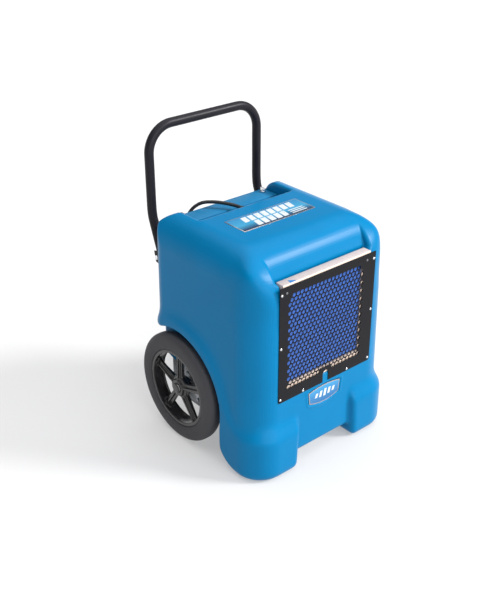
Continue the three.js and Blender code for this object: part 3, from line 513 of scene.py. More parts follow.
def make_tie():
    """A hook-and-loop strap round the winding, its end lapped over."""
    x = COIL_CENTRE[0]
    y0 = COIL_CENTRE[1] + COIL_RADIUS - 4 * CORD_RADIUS - 0.0012
    y1 = COIL_CENTRE[1] + COIL_RADIUS + 4 * CORD_RADIUS + 0.0012
    z0, z1 = 0.0003, COIL_LAYERS * CORD_DIAMETER + 0.0011
    loop = rounded_rectangle(y0, y1, z0, z1, 0.005, 5)
    verts, faces = [], []
    thick, half = 0.0012, 0.0088
    centre = Vector(((y0 + y1) / 2, (z0 + z1) / 2))
    for u, v in loop:
        out = Vector((u, v)) - centre
        out = Vector((out.x / (y1 - y0), out.y / (z1 - z0))).normalized() * thick
        side, height = u + out.x, max(v + out.y, 0.0001)
        verts += [(x - half, u, v), (x + half, u, v), (x + half, side, height), (x - half, side, height)]
    count = len(loop)
    for i in range(count):
        j = (i + 1) % count
        faces += [(4 * i + k, 4 * i + (k + 1) % 4, 4 * j + (k + 1) % 4, 4 * j + k) for k in range(4)]
    strap = add_object("tie_strap", verts, faces, smooth=False)
    end = rounded_rectangle(x - half, x + half, y0 + 0.006, y1 - 0.012, 0.002, 3)
    lap = slab("tie_lap", end, z1 + thick, z1 + 2 * thick)
    return auto_smooth(outward(joined("tie_strap", strap, lap)), 40)


tie_strap = place(make_tie(), "cabinet", TIE_BLACK, "tie", "cord_tie")


# ---------- solid fields ----------
def edge_both(a, b, r):
    """Inside a and b, with the edge between them rounded to r. Fields are distances in millimetres."""
    return np.minimum(np.maximum(a, b), -r) + np.hypot(np.maximum(a + r, 0), np.maximum(b + r, 0))


def edge_either(a, b, r):
    """Inside a or b, with the corner between them filleted to r."""
    return np.maximum(np.minimum(a, b), r) - np.hypot(np.maximum(r - a, 0), np.maximum(r - b, 0))


def without(a, b, r):
    """Inside a and outside b, with the edge rounded to r."""
    return edge_both(a, -b, r)


def ramp(value, start, end):
    """A smooth rise from 0 at start to 1 at end."""
    t = np.clip((value - start) / (end - start), 0, 1)
    return t * t * (3 - 2 * t)


def blurred(field, step, sigma):
    """The field under a Gaussian blur of sigma millimetres."""
    reach = int(math.ceil(2.5 * sigma / step))
    kernel = np.exp(-0.5 * (np.arange(-reach, reach + 1) * step / sigma) ** 2)
    kernel /= kernel.sum()
    for axis in range(3):
        pad = [(reach, reach) if a == axis else (0, 0) for a in range(3)]
        padded = np.pad(field, pad, mode="edge")
        total = np.zeros_like(field)
        for i, weight in enumerate(kernel):
            window = [slice(i, i + field.shape[a]) if a == axis else slice(None) for a in range(3)]
            total += np.float32(weight) * padded[tuple(window)]
        field = total
    return field


def sampled(field, origin, step, points):
    """The field between its grid points, and its slope."""
    at = (points - origin) / step
    base = np.clip(np.floor(at).astype(int), 1, np.array(field.shape) - 3)
    part = at - base
    value = np.zeros(len(points))
    slope = np.zeros((len(points), 3))
    for di in (0, 1):
        for dj in (0, 1):
            for dk in (0, 1):
                i, j, k = base[:, 0] + di, base[:, 1] + dj, base[:, 2] + dk
                weight = (
                    (part[:, 0] if di else 1 - part[:, 0])
                    * (part[:, 1] if dj else 1 - part[:, 1])
                    * (part[:, 2] if dk else 1 - part[:, 2])
                )
                value += weight * field[i, j, k]
                slope[:, 0] += weight * (field[i + 1, j, k] - field[i - 1, j, k])
                slope[:, 1] += weight * (field[i, j + 1, k] - field[i, j - 1, k])
                slope[:, 2] += weight * (field[i, j, k + 1] - field[i, j, k - 1])
    return value, slope / (2 * step)


def onto_surface(field, origin, step, points, rounds):
    """Moves points along the field's slope to where the field is zero."""
    for _ in range(rounds):
        value, slope = sampled(field, origin, step, points)
        size = np.maximum((slope**2).sum(1), 0.2)
        move = slope * (value / size)[:, None]
        length = np.linalg.norm(move, axis=1)
        move *= np.minimum(1, 0.6 * step / np.maximum(length, 1e-9))[:, None]
        points = points - move
    return points


def unfolded(mesh, field, origin, step, at):
    """Evens out the corners of triangles that face away from the surface they belong to."""
    corners = np.zeros(len(mesh.loops), np.int32)
    mesh.loops.foreach_get("vertex_index", corners)
    sizes = np.zeros(len(mesh.polygons), np.int32)
    mesh.polygons.foreach_get("loop_total", sizes)
    if not (sizes == 3).all():
        return at
    faces = corners.reshape(-1, 3)
    across = np.cross(at[faces[:, 1]] - at[faces[:, 0]], at[faces[:, 2]] - at[faces[:, 0]])
    across /= np.maximum(np.linalg.norm(across, axis=1), 1e-9)[:, None]
    slope = sampled(field, origin, step, at[faces].mean(1))[1]
    slope /= np.maximum(np.linalg.norm(slope, axis=1), 1e-9)[:, None]
    folded = (across * slope).sum(1) < 0.55
    total = np.zeros_like(at)
    count = np.zeros(len(at))
    for a, b in ((0, 1), (1, 2), (2, 0)):
        np.add.at(total, faces[:, a], at[faces[:, b]])
        np.add.at(total, faces[:, b], at[faces[:, a]])
        np.add.at(count, faces[:, a], 1)
        np.add.at(count, faces[:, b], 1)
    touched = np.unique(faces[folded])
    moved = at.copy()
    moved[touched] = 0.4 * at[touched] + 0.6 * total[touched] / np.maximum(count[touched], 1)[:, None]
    moved[touched] = onto_surface(field, origin, step, moved[touched], 1)
    return moved


def skin(name, field, origin, step, faces_wanted, ground=None):
    """The surface where a field is zero, as a smooth mesh of about the wanted number of triangles.

    No point of it lies below the ground, where one is given.
    """
    inside = field < 0
    cells = tuple(n - 1 for n in field.shape)
    total = np.zeros(cells + (3,), np.float32)
    count = np.zeros(cells, np.float32)
    crossing = []
    for axis in range(3):
        low = [slice(None)] * 3
        high = [slice(None)] * 3
        low[axis], high[axis] = slice(0, -1), slice(1, None)
        f0, f1 = field[tuple(low)], field[tuple(high)]
        cross = inside[tuple(low)] != inside[tuple(high)]
        crossing.append(cross)
        share = np.where(cross, f0 / np.where(cross, f0 - f1, 1), 0)
        others = [a for a in range(3) if a != axis]
        for d0 in (0, 1):
            for d1 in (0, 1):
                window = [slice(None)] * 3
                window[others[0]] = slice(d0, d0 + cells[others[0]])
                window[others[1]] = slice(d1, d1 + cells[others[1]])
                here = cross[tuple(window)]
                total[..., axis] += np.where(here, share[tuple(window)], 0)
                total[..., others[0]] += here * np.float32(d0)
                total[..., others[1]] += here * np.float32(d1)
                count += here
    used = count > 0
    index = np.full(cells, -1, np.int64)
    index[used] = np.arange(int(used.sum()))
    corner = np.argwhere(used)
    points = origin + (corner + total[used] / count[used][:, None]) * step
    quads = []
    for axis in range(3):
        i, j, k = np.nonzero(crossing[axis])
        spot = np.stack([i, j, k], 1)
        others = [a for a in range(3) if a != axis]
        fine = np.ones(len(spot), bool)
        for a in others:
            fine &= (spot[:, a] > 0) & (spot[:, a] < cells[a])
        spot = spot[fine]
        ring = []
        for d0, d1 in ((1, 1), (0, 1), (0, 0), (1, 0)):
            moved = spot.copy()
            moved[:, others[0]] -= d0
            moved[:, others[1]] -= d1
            ring.append(index[tuple(moved.T)])
        ring = np.stack(ring, 1)
        flip = inside[tuple(spot.T)]
        if axis == 1:
            flip = ~flip
        ring[~flip] = ring[~flip][:, ::-1]
        quads.append(ring)
    quads = np.vstack(quads)
    points = onto_surface(field, origin, step, points, 2)
    mesh = bpy.data.meshes.new(name)
    mesh.vertices.add(len(points))
    mesh.vertices.foreach_set("co", (points * MM).astype(np.float32).ravel())
    mesh.loops.add(quads.size)
    mesh.loops.foreach_set("vertex_index", quads.astype(np.int32).ravel())
    mesh.polygons.add(len(quads))
    mesh.polygons.foreach_set("loop_start", np.arange(len(quads), dtype=np.int32) * 4)
    mesh.update(calc_edges=True)
    mesh.validate()
    made = linked(name, mesh)
    if 2 * len(quads) > faces_wanted:
        thin = made.modifiers.new("thin", "DECIMATE")
        thin.ratio = faces_wanted / (2 * len(quads))
        thin.use_collapse_triangulate = True
        apply_modifiers(made)
        mesh = made.data
    at = np.zeros(len(mesh.vertices) * 3)
    mesh.vertices.foreach_get("co", at)
    at = onto_surface(field, origin, step, at.reshape(-1, 3) / MM, 1)
    for _ in range(4):
        at = unfolded(mesh, field, origin, step, at)
    mesh.vertices.foreach_set("co", (at * MM).ravel())
    slope = sampled(field, origin, step, at)[1]
    slope /= np.maximum(np.linalg.norm(slope, axis=1), 1e-9)[:, None]
    if ground is not None:
        at[:, 2] = np.maximum(at[:, 2], ground)
        mesh.vertices.foreach_set("co", (at * MM).ravel())
    mesh.polygons.foreach_set("use_smooth", [True] * len(mesh.polygons))
    mesh.update()
    mesh.normals_split_custom_set_from_vertices([tuple(n) for n in slope])
    return made


def grid(low, high, step):
    """Grid coordinates that broadcast against each other, and the grid's first point."""
    axes = [np.arange(a, b + step, step, dtype=np.float32) for a, b in zip(low, high)]
    shaped = (axes[0][:, None, None], axes[1][None, :, None], axes[2][None, None, :])
    return shaped, np.array(low, float)


# ---------- housing, in millimetres ----------
FRONT, REAR, TOP, HALF_WIDTH = -236.7, 183.5, 617, 233
FENDER_FRONT, FENDER_HALF = -254.4, 247
WHEEL_MIDDLE = (68.7, 155)
FENDER_RADIUS, ARCH_RADIUS = 221, 173
WALL = 5

# The badge's shield: half widths, heights and bows of its upper and of its lower edge.
SHIELD_HALF = (57, 53)
SHIELD_Z = (205.5, 170)
SHIELD_BOW = (7.5, 10)


def shield(x, z):
    """Distance outside a shield with bowed upper and lower edges."""
    top = SHIELD_Z[0] + SHIELD_BOW[0] * (1 - (x / SHIELD_HALF[0]) ** 2)
    bottom = SHIELD_Z[1] - SHIELD_BOW[1] * (1 - (x / SHIELD_HALF[1]) ** 2)
    taper = (SHIELD_HALF[0] - SHIELD_HALF[1]) * (SHIELD_Z[0] - z) / (SHIELD_Z[0] - SHIELD_Z[1])
    side = np.abs(x) - (SHIELD_HALF[0] - taper)
    return np.maximum(np.maximum(z - top, bottom - z), side)


def housing_field(step):
    """The moulded cabinet with its feet, fenders, arches, recess, pocket and wall."""
    (x, y, z), origin = grid((-262, -268, -12), (262, 198, 632), step)
    width = np.abs(x)
    from_wheel = np.hypot(y - WHEEL_MIDDLE[0], z - WHEEL_MIDDLE[1])
    front, rear, top = FRONT - y, y - REAR, z - TOP
    side = width - HALF_WIDTH * (1 + 0.00007 * (590 - z))

    def window(half, through, middle, depth, along, low, high):
        """A window |x| < half and low < along < high, through the wall that lies at the middle."""
        wide = np.maximum(width - half, np.abs(through - middle) - depth)
        return np.maximum(wide, np.maximum(low - along, along - high))

    body = np.maximum(
        edge_both(edge_both(front, top, 127.7), rear, 50),
        np.maximum(edge_both(side, top, 76), edge_both(edge_both(side, front, 80), rear, 50)),
    )
    body = edge_both(body, 42 - z, 10)
    # Where the three roundings meet, the corner is eased by a wider blur.
    near = ramp(side, -100, -62) * ramp(front, -150, -105) * ramp(top, -205, -150)
    part = (slice(None), slice(0, int(240 / step)), slice(int(370 / step), None))
    eased = blurred(body[part].astype(np.float32), step, 15.0)
    body[part] += (eased - body[part]) * near[part]
    # The swelling that forms the fenders and the front feet: the same body, larger, fading out upwards.
    plan = edge_both(edge_both(width - FENDER_HALF, FENDER_FRONT - y, 78), rear, 50)
    above = edge_either(from_wheel - FENDER_RADIUS, z - 157, 60)
    rise = above + 24 + 10 * ramp(y, -40, -200)
    swell = plan + 0.58 * (0.5 * (rise + np.hypot(rise, 6)) - 0.8)
    swell = edge_both(swell, above - 26, 8)
    swell = edge_both(swell, (102 - z * 8 / 157) - width, 14)
    swell = edge_both(swell, -z, 24)
    solid = blurred(edge_either(body, swell, 7).astype(np.float32), step, 3.2)
    # Cuts: below the cabinet behind the feet, the wheel arches, the rear recess and the filter's pocket.
    down = np.clip((76 - z) / 77, 0, 1.3)
    heel = -103.6 - 91.4 * down**2.8
    steep = 1 / np.sqrt(1 + (3.3 * down**1.8) ** 2)
    solid = without(solid, np.maximum(z - 190, (heel - y) * steep), 5)
    arch = np.maximum(from_wheel - ARCH_RADIUS, 205 - width)
    solid = without(solid, arch, 8 + 14 * ramp(y, 135, 178))
    recess = np.maximum(edge_both(width - 157, 70 - y, 8), 180 - z)
    solid = without(solid, recess, 7)
    slot = ramp(z, 540, 552)
    lean = np.clip(z - 550, 0, None)
    pocket = np.maximum(width - 153 - 5.4 * slot, (y + 201 - 0.44 * lean) * 0.9)
    solid = without(solid, np.maximum(pocket, 246.7 - z), 2.5 + 7 * slot)
    # The badge's seat, with a raised lip around it.
    near = shield(x, z) + 0 * y
    fore = ramp(y, -222, -232)
    solid = solid + fore * (2.4 * ramp(near, 2.5, 0.5) - 1.5 * np.exp(-(((near - 6) / 2.6) ** 2)))
    # A hollow moulding, open below, behind and through the pocket's back.
    steepness = np.sqrt(sum(g * g for g in np.gradient(solid, step)))
    shell = np.maximum(solid, -(solid / np.maximum(steepness, 1) + WALL))
    shell = without(shell, window(195, z, 190, 12, y, -97, 190), 1)
    shell = without(shell, window(152, y, 70, 12, z, 185, 574.5), 1)
    shell = without(shell, window(140, y, -198, 8, z, 255, 535), 1)
    return shell.astype(np.float32), origin


HOUSING_STEP = 2.5
field, field_origin = housing_field(HOUSING_STEP)
housing = skin("housing_moulded", field, field_origin, HOUSING_STEP, 185000, ground=0.0)
del field
place(housing, "cabinet", POLY_BLUE, "cabinet_blue", "housing")


# ---------- wheels ----------
WHEEL_X, WHEEL_Y, WHEEL_Z = 0.2349, 0.0687, 0.155
RIM_EDGE = 110.4
SPOKES = 5


def rim_field(step):
    """A rim about X, its outer face towards +X: barrel, hub and five ribbed spokes. Millimetres."""
    (a, y, z), origin = grid((-28, -116, -116), (24, 116, 116), step)
    r = np.hypot(y, z)
    barrel = np.maximum(r - RIM_EDGE, np.abs(a) - 18.6)
    bowl = 104.5 - 1.5 * np.abs(a) / 18
    barrel = edge_both(barrel, bowl - r, 1.5)
    lip = edge_both(edge_both(r - RIM_EDGE, 101.5 - r, 1.0), np.abs(np.abs(a) - 16.8) - 1.9, 1.0)
    solid = np.minimum(barrel, lip)
    hub = edge_both(r - 23.5, np.maximum(a - 15.4, -20.4 - a), 2.5)
    collar = edge_both(r - 31, np.maximum(a - 8, -8 - a), 3)
    solid = np.minimum(solid, edge_either(hub, collar, 4))
    spokes = np.full_like(solid, 500.0)
    for i in range(SPOKES):
        turn = TAU * i / SPOKES
        u = z * math.cos(turn) + y * math.sin(turn)
        v = y * math.cos(turn) - z * math.sin(turn)
        wide = 10 + 5.0 * np.clip((u - 40) / 66, 0, 1) ** 1.5 + 3.5 * np.clip((50 - u) / 30, 0, 1) ** 2
        blade = edge_both(np.abs(v) - wide, np.abs(a - 1) - 4.2, 2.2)
        tall = 12.5 - 3.5 * np.clip((u - 24) / 80, 0, 1)
        rib = edge_both(np.abs(v) - 2.6, np.abs(a - 1) - tall, 1.5)
        one = edge_either(blade, rib, 3.0)
        one = np.maximum(one, np.maximum(12 - u, u - 105.5))
        spokes = np.minimum(spokes, one)
    solid = edge_either(solid, spokes, 4.0)
    solid = edge_both(solid, 12.0 - r, 0.8)
    return solid.astype(np.float32), origin


TYRE_SIDE = [
    (111.0, 18.8), (112.2, 20.6), (114.6, 21.3), (116.2, 21.0), (117.2, 21.6), (120.0, 22.2),
    (126.0, 22.45), (133.0, 22.45), (139.0, 22.0), (144.0, 20.7), (148.4, 18.2), (151.6, 15.0),
    (153.7, 11.2), (154.6, 8.2), (154.1, 7.8), (154.1, 7.0), (154.8, 6.6), (155.0, 3.0), (155.0, 0.0),
]


CAP_FACE = 252.3
CAP_SIDE = ((0, 0), (14, 0), (14, 1.1), (12.6, 2.3), (9.5, 2.9), (5, 3.0), (0, 3.0))


def make_wheels():
    """Both wheels: the moulded rim, the tyre turned from its profile, and the domed cap on the axle."""
    step = 1.3
    field, origin = rim_field(step)
    base = skin("wheel_rim_moulded", field, origin, step, 60000)
    across = (1, 0, 0)
    profile = [(r, -a) for r, a in TYRE_SIDE] + [(r, a) for r, a in TYRE_SIDE[-2::-1]] + [(111.0, 0.0)]
    for name, side in zip(SIDES, (-1, 1)):
        middle = (side * WHEEL_X, WHEEL_Y, WHEEL_Z)
        mesh = base.data.copy()
        mesh.transform(Matrix.Diagonal((side, 1, 1, 1)))
        if side < 0:
            mesh.flip_normals()
        mesh.transform(Matrix.Translation(middle))
        rim = linked(f"rim_{name}", mesh)
        place(rim, f"wheel_{name}", RIM_BLACK, "rim_black", f"wheel_rim_{name}")
        tyre = lathe(f"tyre_moulded_{name}", in_metres(profile), middle, across, 120)
        auto_smooth(tyre, 45)
        place(tyre, f"wheel_{name}", TYRE_GREY, "tyre_grey", f"tyre_{name}")
        dome = in_metres([(r, side * CAP_FACE + side * a) for r, a in CAP_SIDE])
        cap = lathe(f"axle_cap_domed_{name}", dome, (0, WHEEL_Y, WHEEL_Z), across, 40, closed=False)
        auto_smooth(cap, 50)
        place(cap, "cabinet", RIM_BLACK, "rim_black", f"axle_cap_{name}")
    bpy.data.objects.remove(base)


make_wheels()


# ---------- handle ----------
HANDLE_X, HANDLE_Y, HANDLE_Z = 0.1817, 0.2425, 0.8185
HANDLE_RADIUS = 0.0125
HANDLE_BEND = 0.071
PIVOT_Y, PIVOT_Z = 0.204, 0.478
LEG_LEAN = 0.357


def handle_line():
    """The tube's centreline from one foot over the grip to the other foot."""
    foot = Vector((HANDLE_X, PIVOT_Y - 0.008 * LEG_LEAN, PIVOT_Z - 0.008))
    knee_y = HANDLE_Y - 0.014 * LEG_LEAN
    knee = Vector((HANDLE_X, knee_y, PIVOT_Z + (knee_y - PIVOT_Y) / LEG_LEAN))
    turn = Vector((HANDLE_X, HANDLE_Y, knee.z + 0.012))
    straight = Vector((HANDLE_X, HANDLE_Y, knee.z + 0.046))
    corner = Vector((HANDLE_X, HANDLE_Y, HANDLE_Z - HANDLE_BEND))
    points = [foot.lerp(knee, i / 6) for i in range(6)]
    for i in range(13):
        t = i / 12
        points.append(knee.lerp(turn, t).lerp(turn.lerp(straight, t), t))
    points += [straight.lerp(corner, i / 5) for i in range(1, 6)]
    centre = Vector((HANDLE_X - HANDLE_BEND, HANDLE_Y, HANDLE_Z - HANDLE_BEND))
    for i in range(1, 19):
        angle = math.pi / 2 * i / 18
        points.append(centre + Vector((math.cos(angle), 0, math.sin(angle))) * HANDLE_BEND)
    mirrored = [Vector((-p.x, p.y, p.z)) for p in reversed(points)]
    return points + mirrored


handle_tube = swept("handle_tube", handle_line(), HANDLE_RADIUS, sides=32)
auto_smooth(handle_tube, 50)
place(handle_tube, "handle", HANDLE_BLACK, "handle_black", "handle")


# ---------- intake grille ----------
PLATE_HALF = 163.6
PLATE_LOW, PLATE_HIGH = 222.6, 544.0
PLATE_FRONT, PLATE_BACK = -238.6, -237.0
PLATE_CORNER = 6
NOTCH_HALF, NOTCH_Z = 10, 247
HOLE_RADIUS, HOLE_SIDES = 5.9, 14
HOLE_PITCH, HOLE_MIDDLE = 13.05, -6.3
ROWS, ROW_PITCH, LOWEST_ROW = 23, 11.58, 260.2


def hole_centres():
    """Rows of twenty and nineteen holes by turns, less three over the notch and the top row's ends."""
    centres = []
    for row in range(ROWS):
        count = 19 if row % 2 else 20
        for column in range(count):
            if (row == 0 and 9 <= column <= 11) or (row == ROWS - 1 and column in (0, 19)):
                continue
            x = HOLE_MIDDLE + (column - (count - 1) / 2) * HOLE_PITCH
            centres.append((x, LOWEST_ROW + row * ROW_PITCH))
    return centres


def circle(x, z, radius, sides):
    turns = [TAU * i / sides for i in range(sides)]
    return [(x + radius * math.cos(turn), z + radius * math.sin(turn)) for turn in turns]


def plate_outline():
    """The plate's outline: a notch with a round top below, and two rounded lower corners."""
    arc = np.linspace(0, math.pi / 2, 5)
    arch = [math.pi * i / 10 for i in range(1, 10)]
    inset, low = PLATE_HALF - PLATE_CORNER, PLATE_LOW + PLATE_CORNER
    outline = [(NOTCH_HALF, PLATE_LOW), (NOTCH_HALF, NOTCH_Z)]
    outline += [(NOTCH_HALF * math.cos(t), NOTCH_Z + NOTCH_HALF * math.sin(t)) for t in arch]
    outline += [(-NOTCH_HALF, NOTCH_Z), (-NOTCH_HALF, PLATE_LOW)]
    outline += [(-inset - PLATE_CORNER * math.sin(t), low - PLATE_CORNER * math.cos(t)) for t in arc]
    outline += [(-PLATE_HALF, PLATE_HIGH), (PLATE_HALF, PLATE_HIGH)]
    outline += [(inset + PLATE_CORNER * math.cos(t), low - PLATE_CORNER * math.sin(t)) for t in arc]
    return outline


def on_plate(middle, holes):
    """Which of the points lie on the plate, outside its holes, its notch and its rounded corners."""
    keep = np.ones(len(middle), bool)
    centres = np.array(holes)
    for block in range(0, len(middle), 2000):
        part = middle[block : block + 2000]
        near = np.linalg.norm(part[:, None] - centres[None], axis=2).min(1)
        keep[block : block + 2000] &= near > HOLE_RADIUS * 0.9
    width, z = np.abs(middle[:, 0]), middle[:, 1]
    in_arch = np.hypot(middle[:, 0], np.maximum(z - NOTCH_Z, 0)) < NOTCH_HALF - 0.03
    keep &= ~((width < NOTCH_HALF) & in_arch)
    corner_x = width - (PLATE_HALF - PLATE_CORNER)
    corner_z = (PLATE_LOW + PLATE_CORNER) - z
    past_arc = np.hypot(corner_x, corner_z) > PLATE_CORNER - 0.02
    return keep & ~((corner_x > 0) & (corner_z > 0) & past_arc)


def make_grille():
    """The perforated plate: triangulated flat between its outline and holes, then given its thickness."""
    outline = plate_outline()
    holes = hole_centres()
    points = [Vector(p) for p in outline]
    edges = [(i, (i + 1) % len(outline)) for i in range(len(outline))]
    for x, z in holes:
        start = len(points)
        points += [Vector(p) for p in circle(x, z, HOLE_RADIUS, HOLE_SIDES)]
        edges += [(start + i, start + (i + 1) % HOLE_SIDES) for i in range(HOLE_SIDES)]
    flat, _, triangles, *_ = delaunay_2d_cdt(points, edges, [], 0, 1e-6)
    flat = np.array([tuple(p) for p in flat])
    triangles = np.array(triangles)
    bm = bmesh.new()
    verts = [bm.verts.new((p[0] * MM, PLATE_FRONT * MM, p[1] * MM)) for p in flat]
    for t in triangles[on_plate(flat[triangles].mean(1), holes)]:
        bm.faces.new([verts[i] for i in t])
    bmesh.ops.delete(bm, geom=[v for v in bm.verts if not v.link_faces], context="VERTS")
    for face in bm.faces:
        if face.normal.y > 0:
            face.normal_flip()
    copy = bmesh.ops.duplicate(bm, geom=list(bm.verts) + list(bm.edges) + list(bm.faces))
    back_faces = [g for g in copy["geom"] if isinstance(g, bmesh.types.BMFace)]
    back_verts = [g for g in copy["geom"] if isinstance(g, bmesh.types.BMVert)]
    bmesh.ops.translate(bm, vec=(0, (PLATE_BACK - PLATE_FRONT) * MM, 0), verts=back_verts)
    bmesh.ops.reverse_faces(bm, faces=back_faces)
    bm.normal_update()
    rims = [e for e in bm.edges if e.is_boundary]
    pair = copy["vert_map"]
    for edge in [e for e in rims if all(v.co.y < (PLATE_FRONT + 0.5) * MM for v in e.verts)]:
        a, b = edge.verts
        loop = edge.link_loops[0]
        if loop.vert == a:
            a, b = b, a
        bm.faces.new((a, b, pair[b], pair[a]))
    bm.normal_update()
    mesh = bpy.data.meshes.new("grille_plate")
    bm.to_mesh(mesh)
    bm.free()
    return auto_smooth(linked("grille_plate", mesh), 50)


# A screw head's profile: shares of its radius and of its rise.
SCREW_DOME = ((0, 0.55), (0.18, 0.55), (0.24, 1), (0.6, 0.86), (0.9, 0.45), (1, 0), (0, 0))


def screw_heads(name, places, radius, rise):
    """Domed screw heads with a round recess, on the plate's front."""
    heads = []
    profile = in_metres([(radius * r, -rise * a) for r, a in SCREW_DOME])
    for i, (x, z) in enumerate(places):
        at = (x * MM, (PLATE_FRONT - 0.05) * MM, z * MM)
        head = lathe(f"{name}_{i}", profile, at, (0, 1, 0), 20, closed=False)
        heads.append(auto_smooth(head, 40))
    return joined(name, *heads)


place(make_grille(), "cabinet", BLACK_PAINT, "black_steel", "intake_grille")

BRIGHT_SCREWS = [(side * 157, z) for side in (-1, 1) for z in (232, 379, 525)]
BRIGHT_SCREWS += [(side * 79, 227.5) for side in (-1, 1)]
DULL_SCREWS = [(-141.5, 527), (132.5, 527)]
bright_screws = screw_heads("grille_screws", BRIGHT_SCREWS, 3.6, 1.9)
place(bright_screws, "cabinet", BRIGHT_STEEL, "bright_steel")
dull_screws = screw_heads("grille_screws_dull", DULL_SCREWS, 3.2, 1.4)
place(dull_screws, "cabinet", DULL_ZINC, "galvanised")


# ---------- filter ----------
FILTER_FRONT, FILTER_DEPTH = -233.5, 25.0
FILTER_LOW, FILTER_HALF = 247.0, 150.0
OPEN_X, OPEN_Z = (-131.0, 119.5), (267.0, 525.0)
MEDIA_Z = (269.3, 524.7)


def make_filter_frame():
    """A card frame with soft corners; its opening lies a little to one side."""
    high = FILTER_LOW + 2 * FILTER_HALF
    outer = rounded_rectangle(-FILTER_HALF, FILTER_HALF, FILTER_LOW, high, 1.6, 2)
    inner = rounded_rectangle(*OPEN_X, *OPEN_Z, 4, 2)
    count = len(outer)
    verts = []
    for y in (FILTER_FRONT, FILTER_FRONT + FILTER_DEPTH):
        verts += [(u * MM, y * MM, v * MM) for u, v in outer]
        verts += [(u * MM, y * MM, v * MM) for u, v in inner]
    faces = []
    for i in range(count):
        j = (i + 1) % count
        faces.append((i, j, count + j, count + i))
        faces.append((2 * count + i, 3 * count + i, 3 * count + j, 2 * count + j))
        faces.append((i, 2 * count + i, 2 * count + j, j))
        faces.append((count + i, count + j, 3 * count + j, 3 * count + i))
    return softened(outward(add_object("filter_card", verts, faces, smooth=False)), 0.8 * MM)


def make_filter_media():
    """A fibrous pad with a slightly wavy face."""
    rows, columns, wave = 180, 60, 12.0
    across = columns + 1
    low, high = MEDIA_Z
    left, right = OPEN_X[0] + 0.3, OPEN_X[1] - 0.3
    verts, faces = [], []
    rng = np.random.default_rng(7)
    rough = rng.normal(0, 0.28, (rows + 1, across))
    for layer in range(2):
        for i in range(rows + 1):
            z = low + (high - low) * i / rows
            pleat = 0.35 * math.sin(TAU * (z - low) / wave)
            for j in range(across):
                x = left + (right - left) * j / columns
                edge = min(1.0, 8 * min(j, columns - j) / columns, 12 * min(i, rows - i) / rows)
                y = FILTER_FRONT + 2.9 + layer * 14.0 + edge * (pleat + rough[i, j])
                verts.append((x * MM, y * MM, z * MM))
    size = (rows + 1) * across
    for i in range(rows):
        for j in range(columns):
            a = i * across + j
            faces.append((a, a + 1, a + across + 1, a + across))
            faces.append((size + a, size + a + across, size + a + across + 1, size + a + 1))
    border = list(range(across)) + [i * across + columns for i in range(1, rows + 1)]
    border += [rows * across + j for j in range(columns - 1, -1, -1)]
    border += [i * across for i in range(rows - 1, 0, -1)]
    for a, b in zip(border, border[1:] + border[:1]):
        faces.append((b, a, size + a, size + b))
    return outward(add_object("filter_fibre", verts, faces))


filter_card = place(make_filter_frame(), "air_filter", [CARD_PAINTED_SHADE, CARD_FACE], "filter_card", "filter_frame")
# Faces looking forward keep the card's cream colour; all other faces get the darker copy, which is
# painted shade.
for polygon in filter_card.data.polygons:
    polygon.material_index = 1 if polygon.normal.y < -0.7 else 0
place(make_filter_media(), "air_filter", MEDIA, "filter_media", "filter_media")
ARROW = [(-0.1250, -0.2320), (-0.1040, -0.2312), (-0.1225, -0.2180)]
filter_mark = slab("filter_mark", ARROW, 0.5470, 0.54715)
place(filter_mark, "air_filter", BLUE_INK, "badge")


# ---------- label ----------
LABEL_HALF, LABEL_FRONT, LABEL_REAR = 0.120, -0.061, 0.018
LABEL_LOW, LABEL_EDGE = 0.6173, 0.0022


def gradient(name, stops, axis, start, end):
    """A printed surface whose colour runs through the stops along an axis of the object."""
    made, nodes, links, shader, space = node_tree(name)
    give(shader, Roughness=0.3)
    split = nodes.new("ShaderNodeSeparateXYZ")
    links.new(space.outputs["Object"], split.inputs["Vector"])
    noise = nodes.new("ShaderNodeTexNoise")
    give(noise, Scale=30)
    links.new(space.outputs["Object"], noise.inputs["Vector"])
    along = nodes.new("ShaderNodeMapRange")
    give(along, From_Min=start, From_Max=end)
    links.new(split.outputs[axis], along.inputs["Value"])
    wobble = nodes.new("ShaderNodeMath")
    wobble.operation = "MULTIPLY_ADD"
    wobble.inputs[1].default_value = 0.05
    links.new(noise.outputs["Fac"], wobble.inputs[0])
    links.new(along.outputs["Result"], wobble.inputs[2])
    colours = nodes.new("ShaderNodeValToRGB")
    set_stops(colours, stops)
    links.new(wobble.outputs["Value"], colours.inputs["Fac"])
    links.new(colours.outputs["Color"], shader.inputs["Base Color"])
    return made


LABEL_STOPS = [
    (0.0, (0.006, 0.012, 0.02)), (1.0, (0.015, 0.18, 0.38)),
    (0.14, (0.01, 0.05, 0.12)), (0.45, (0.03, 0.27, 0.46)),
]
LABEL_PRINT = gradient("label_print", LABEL_STOPS, "Y", LABEL_FRONT, LABEL_REAR)


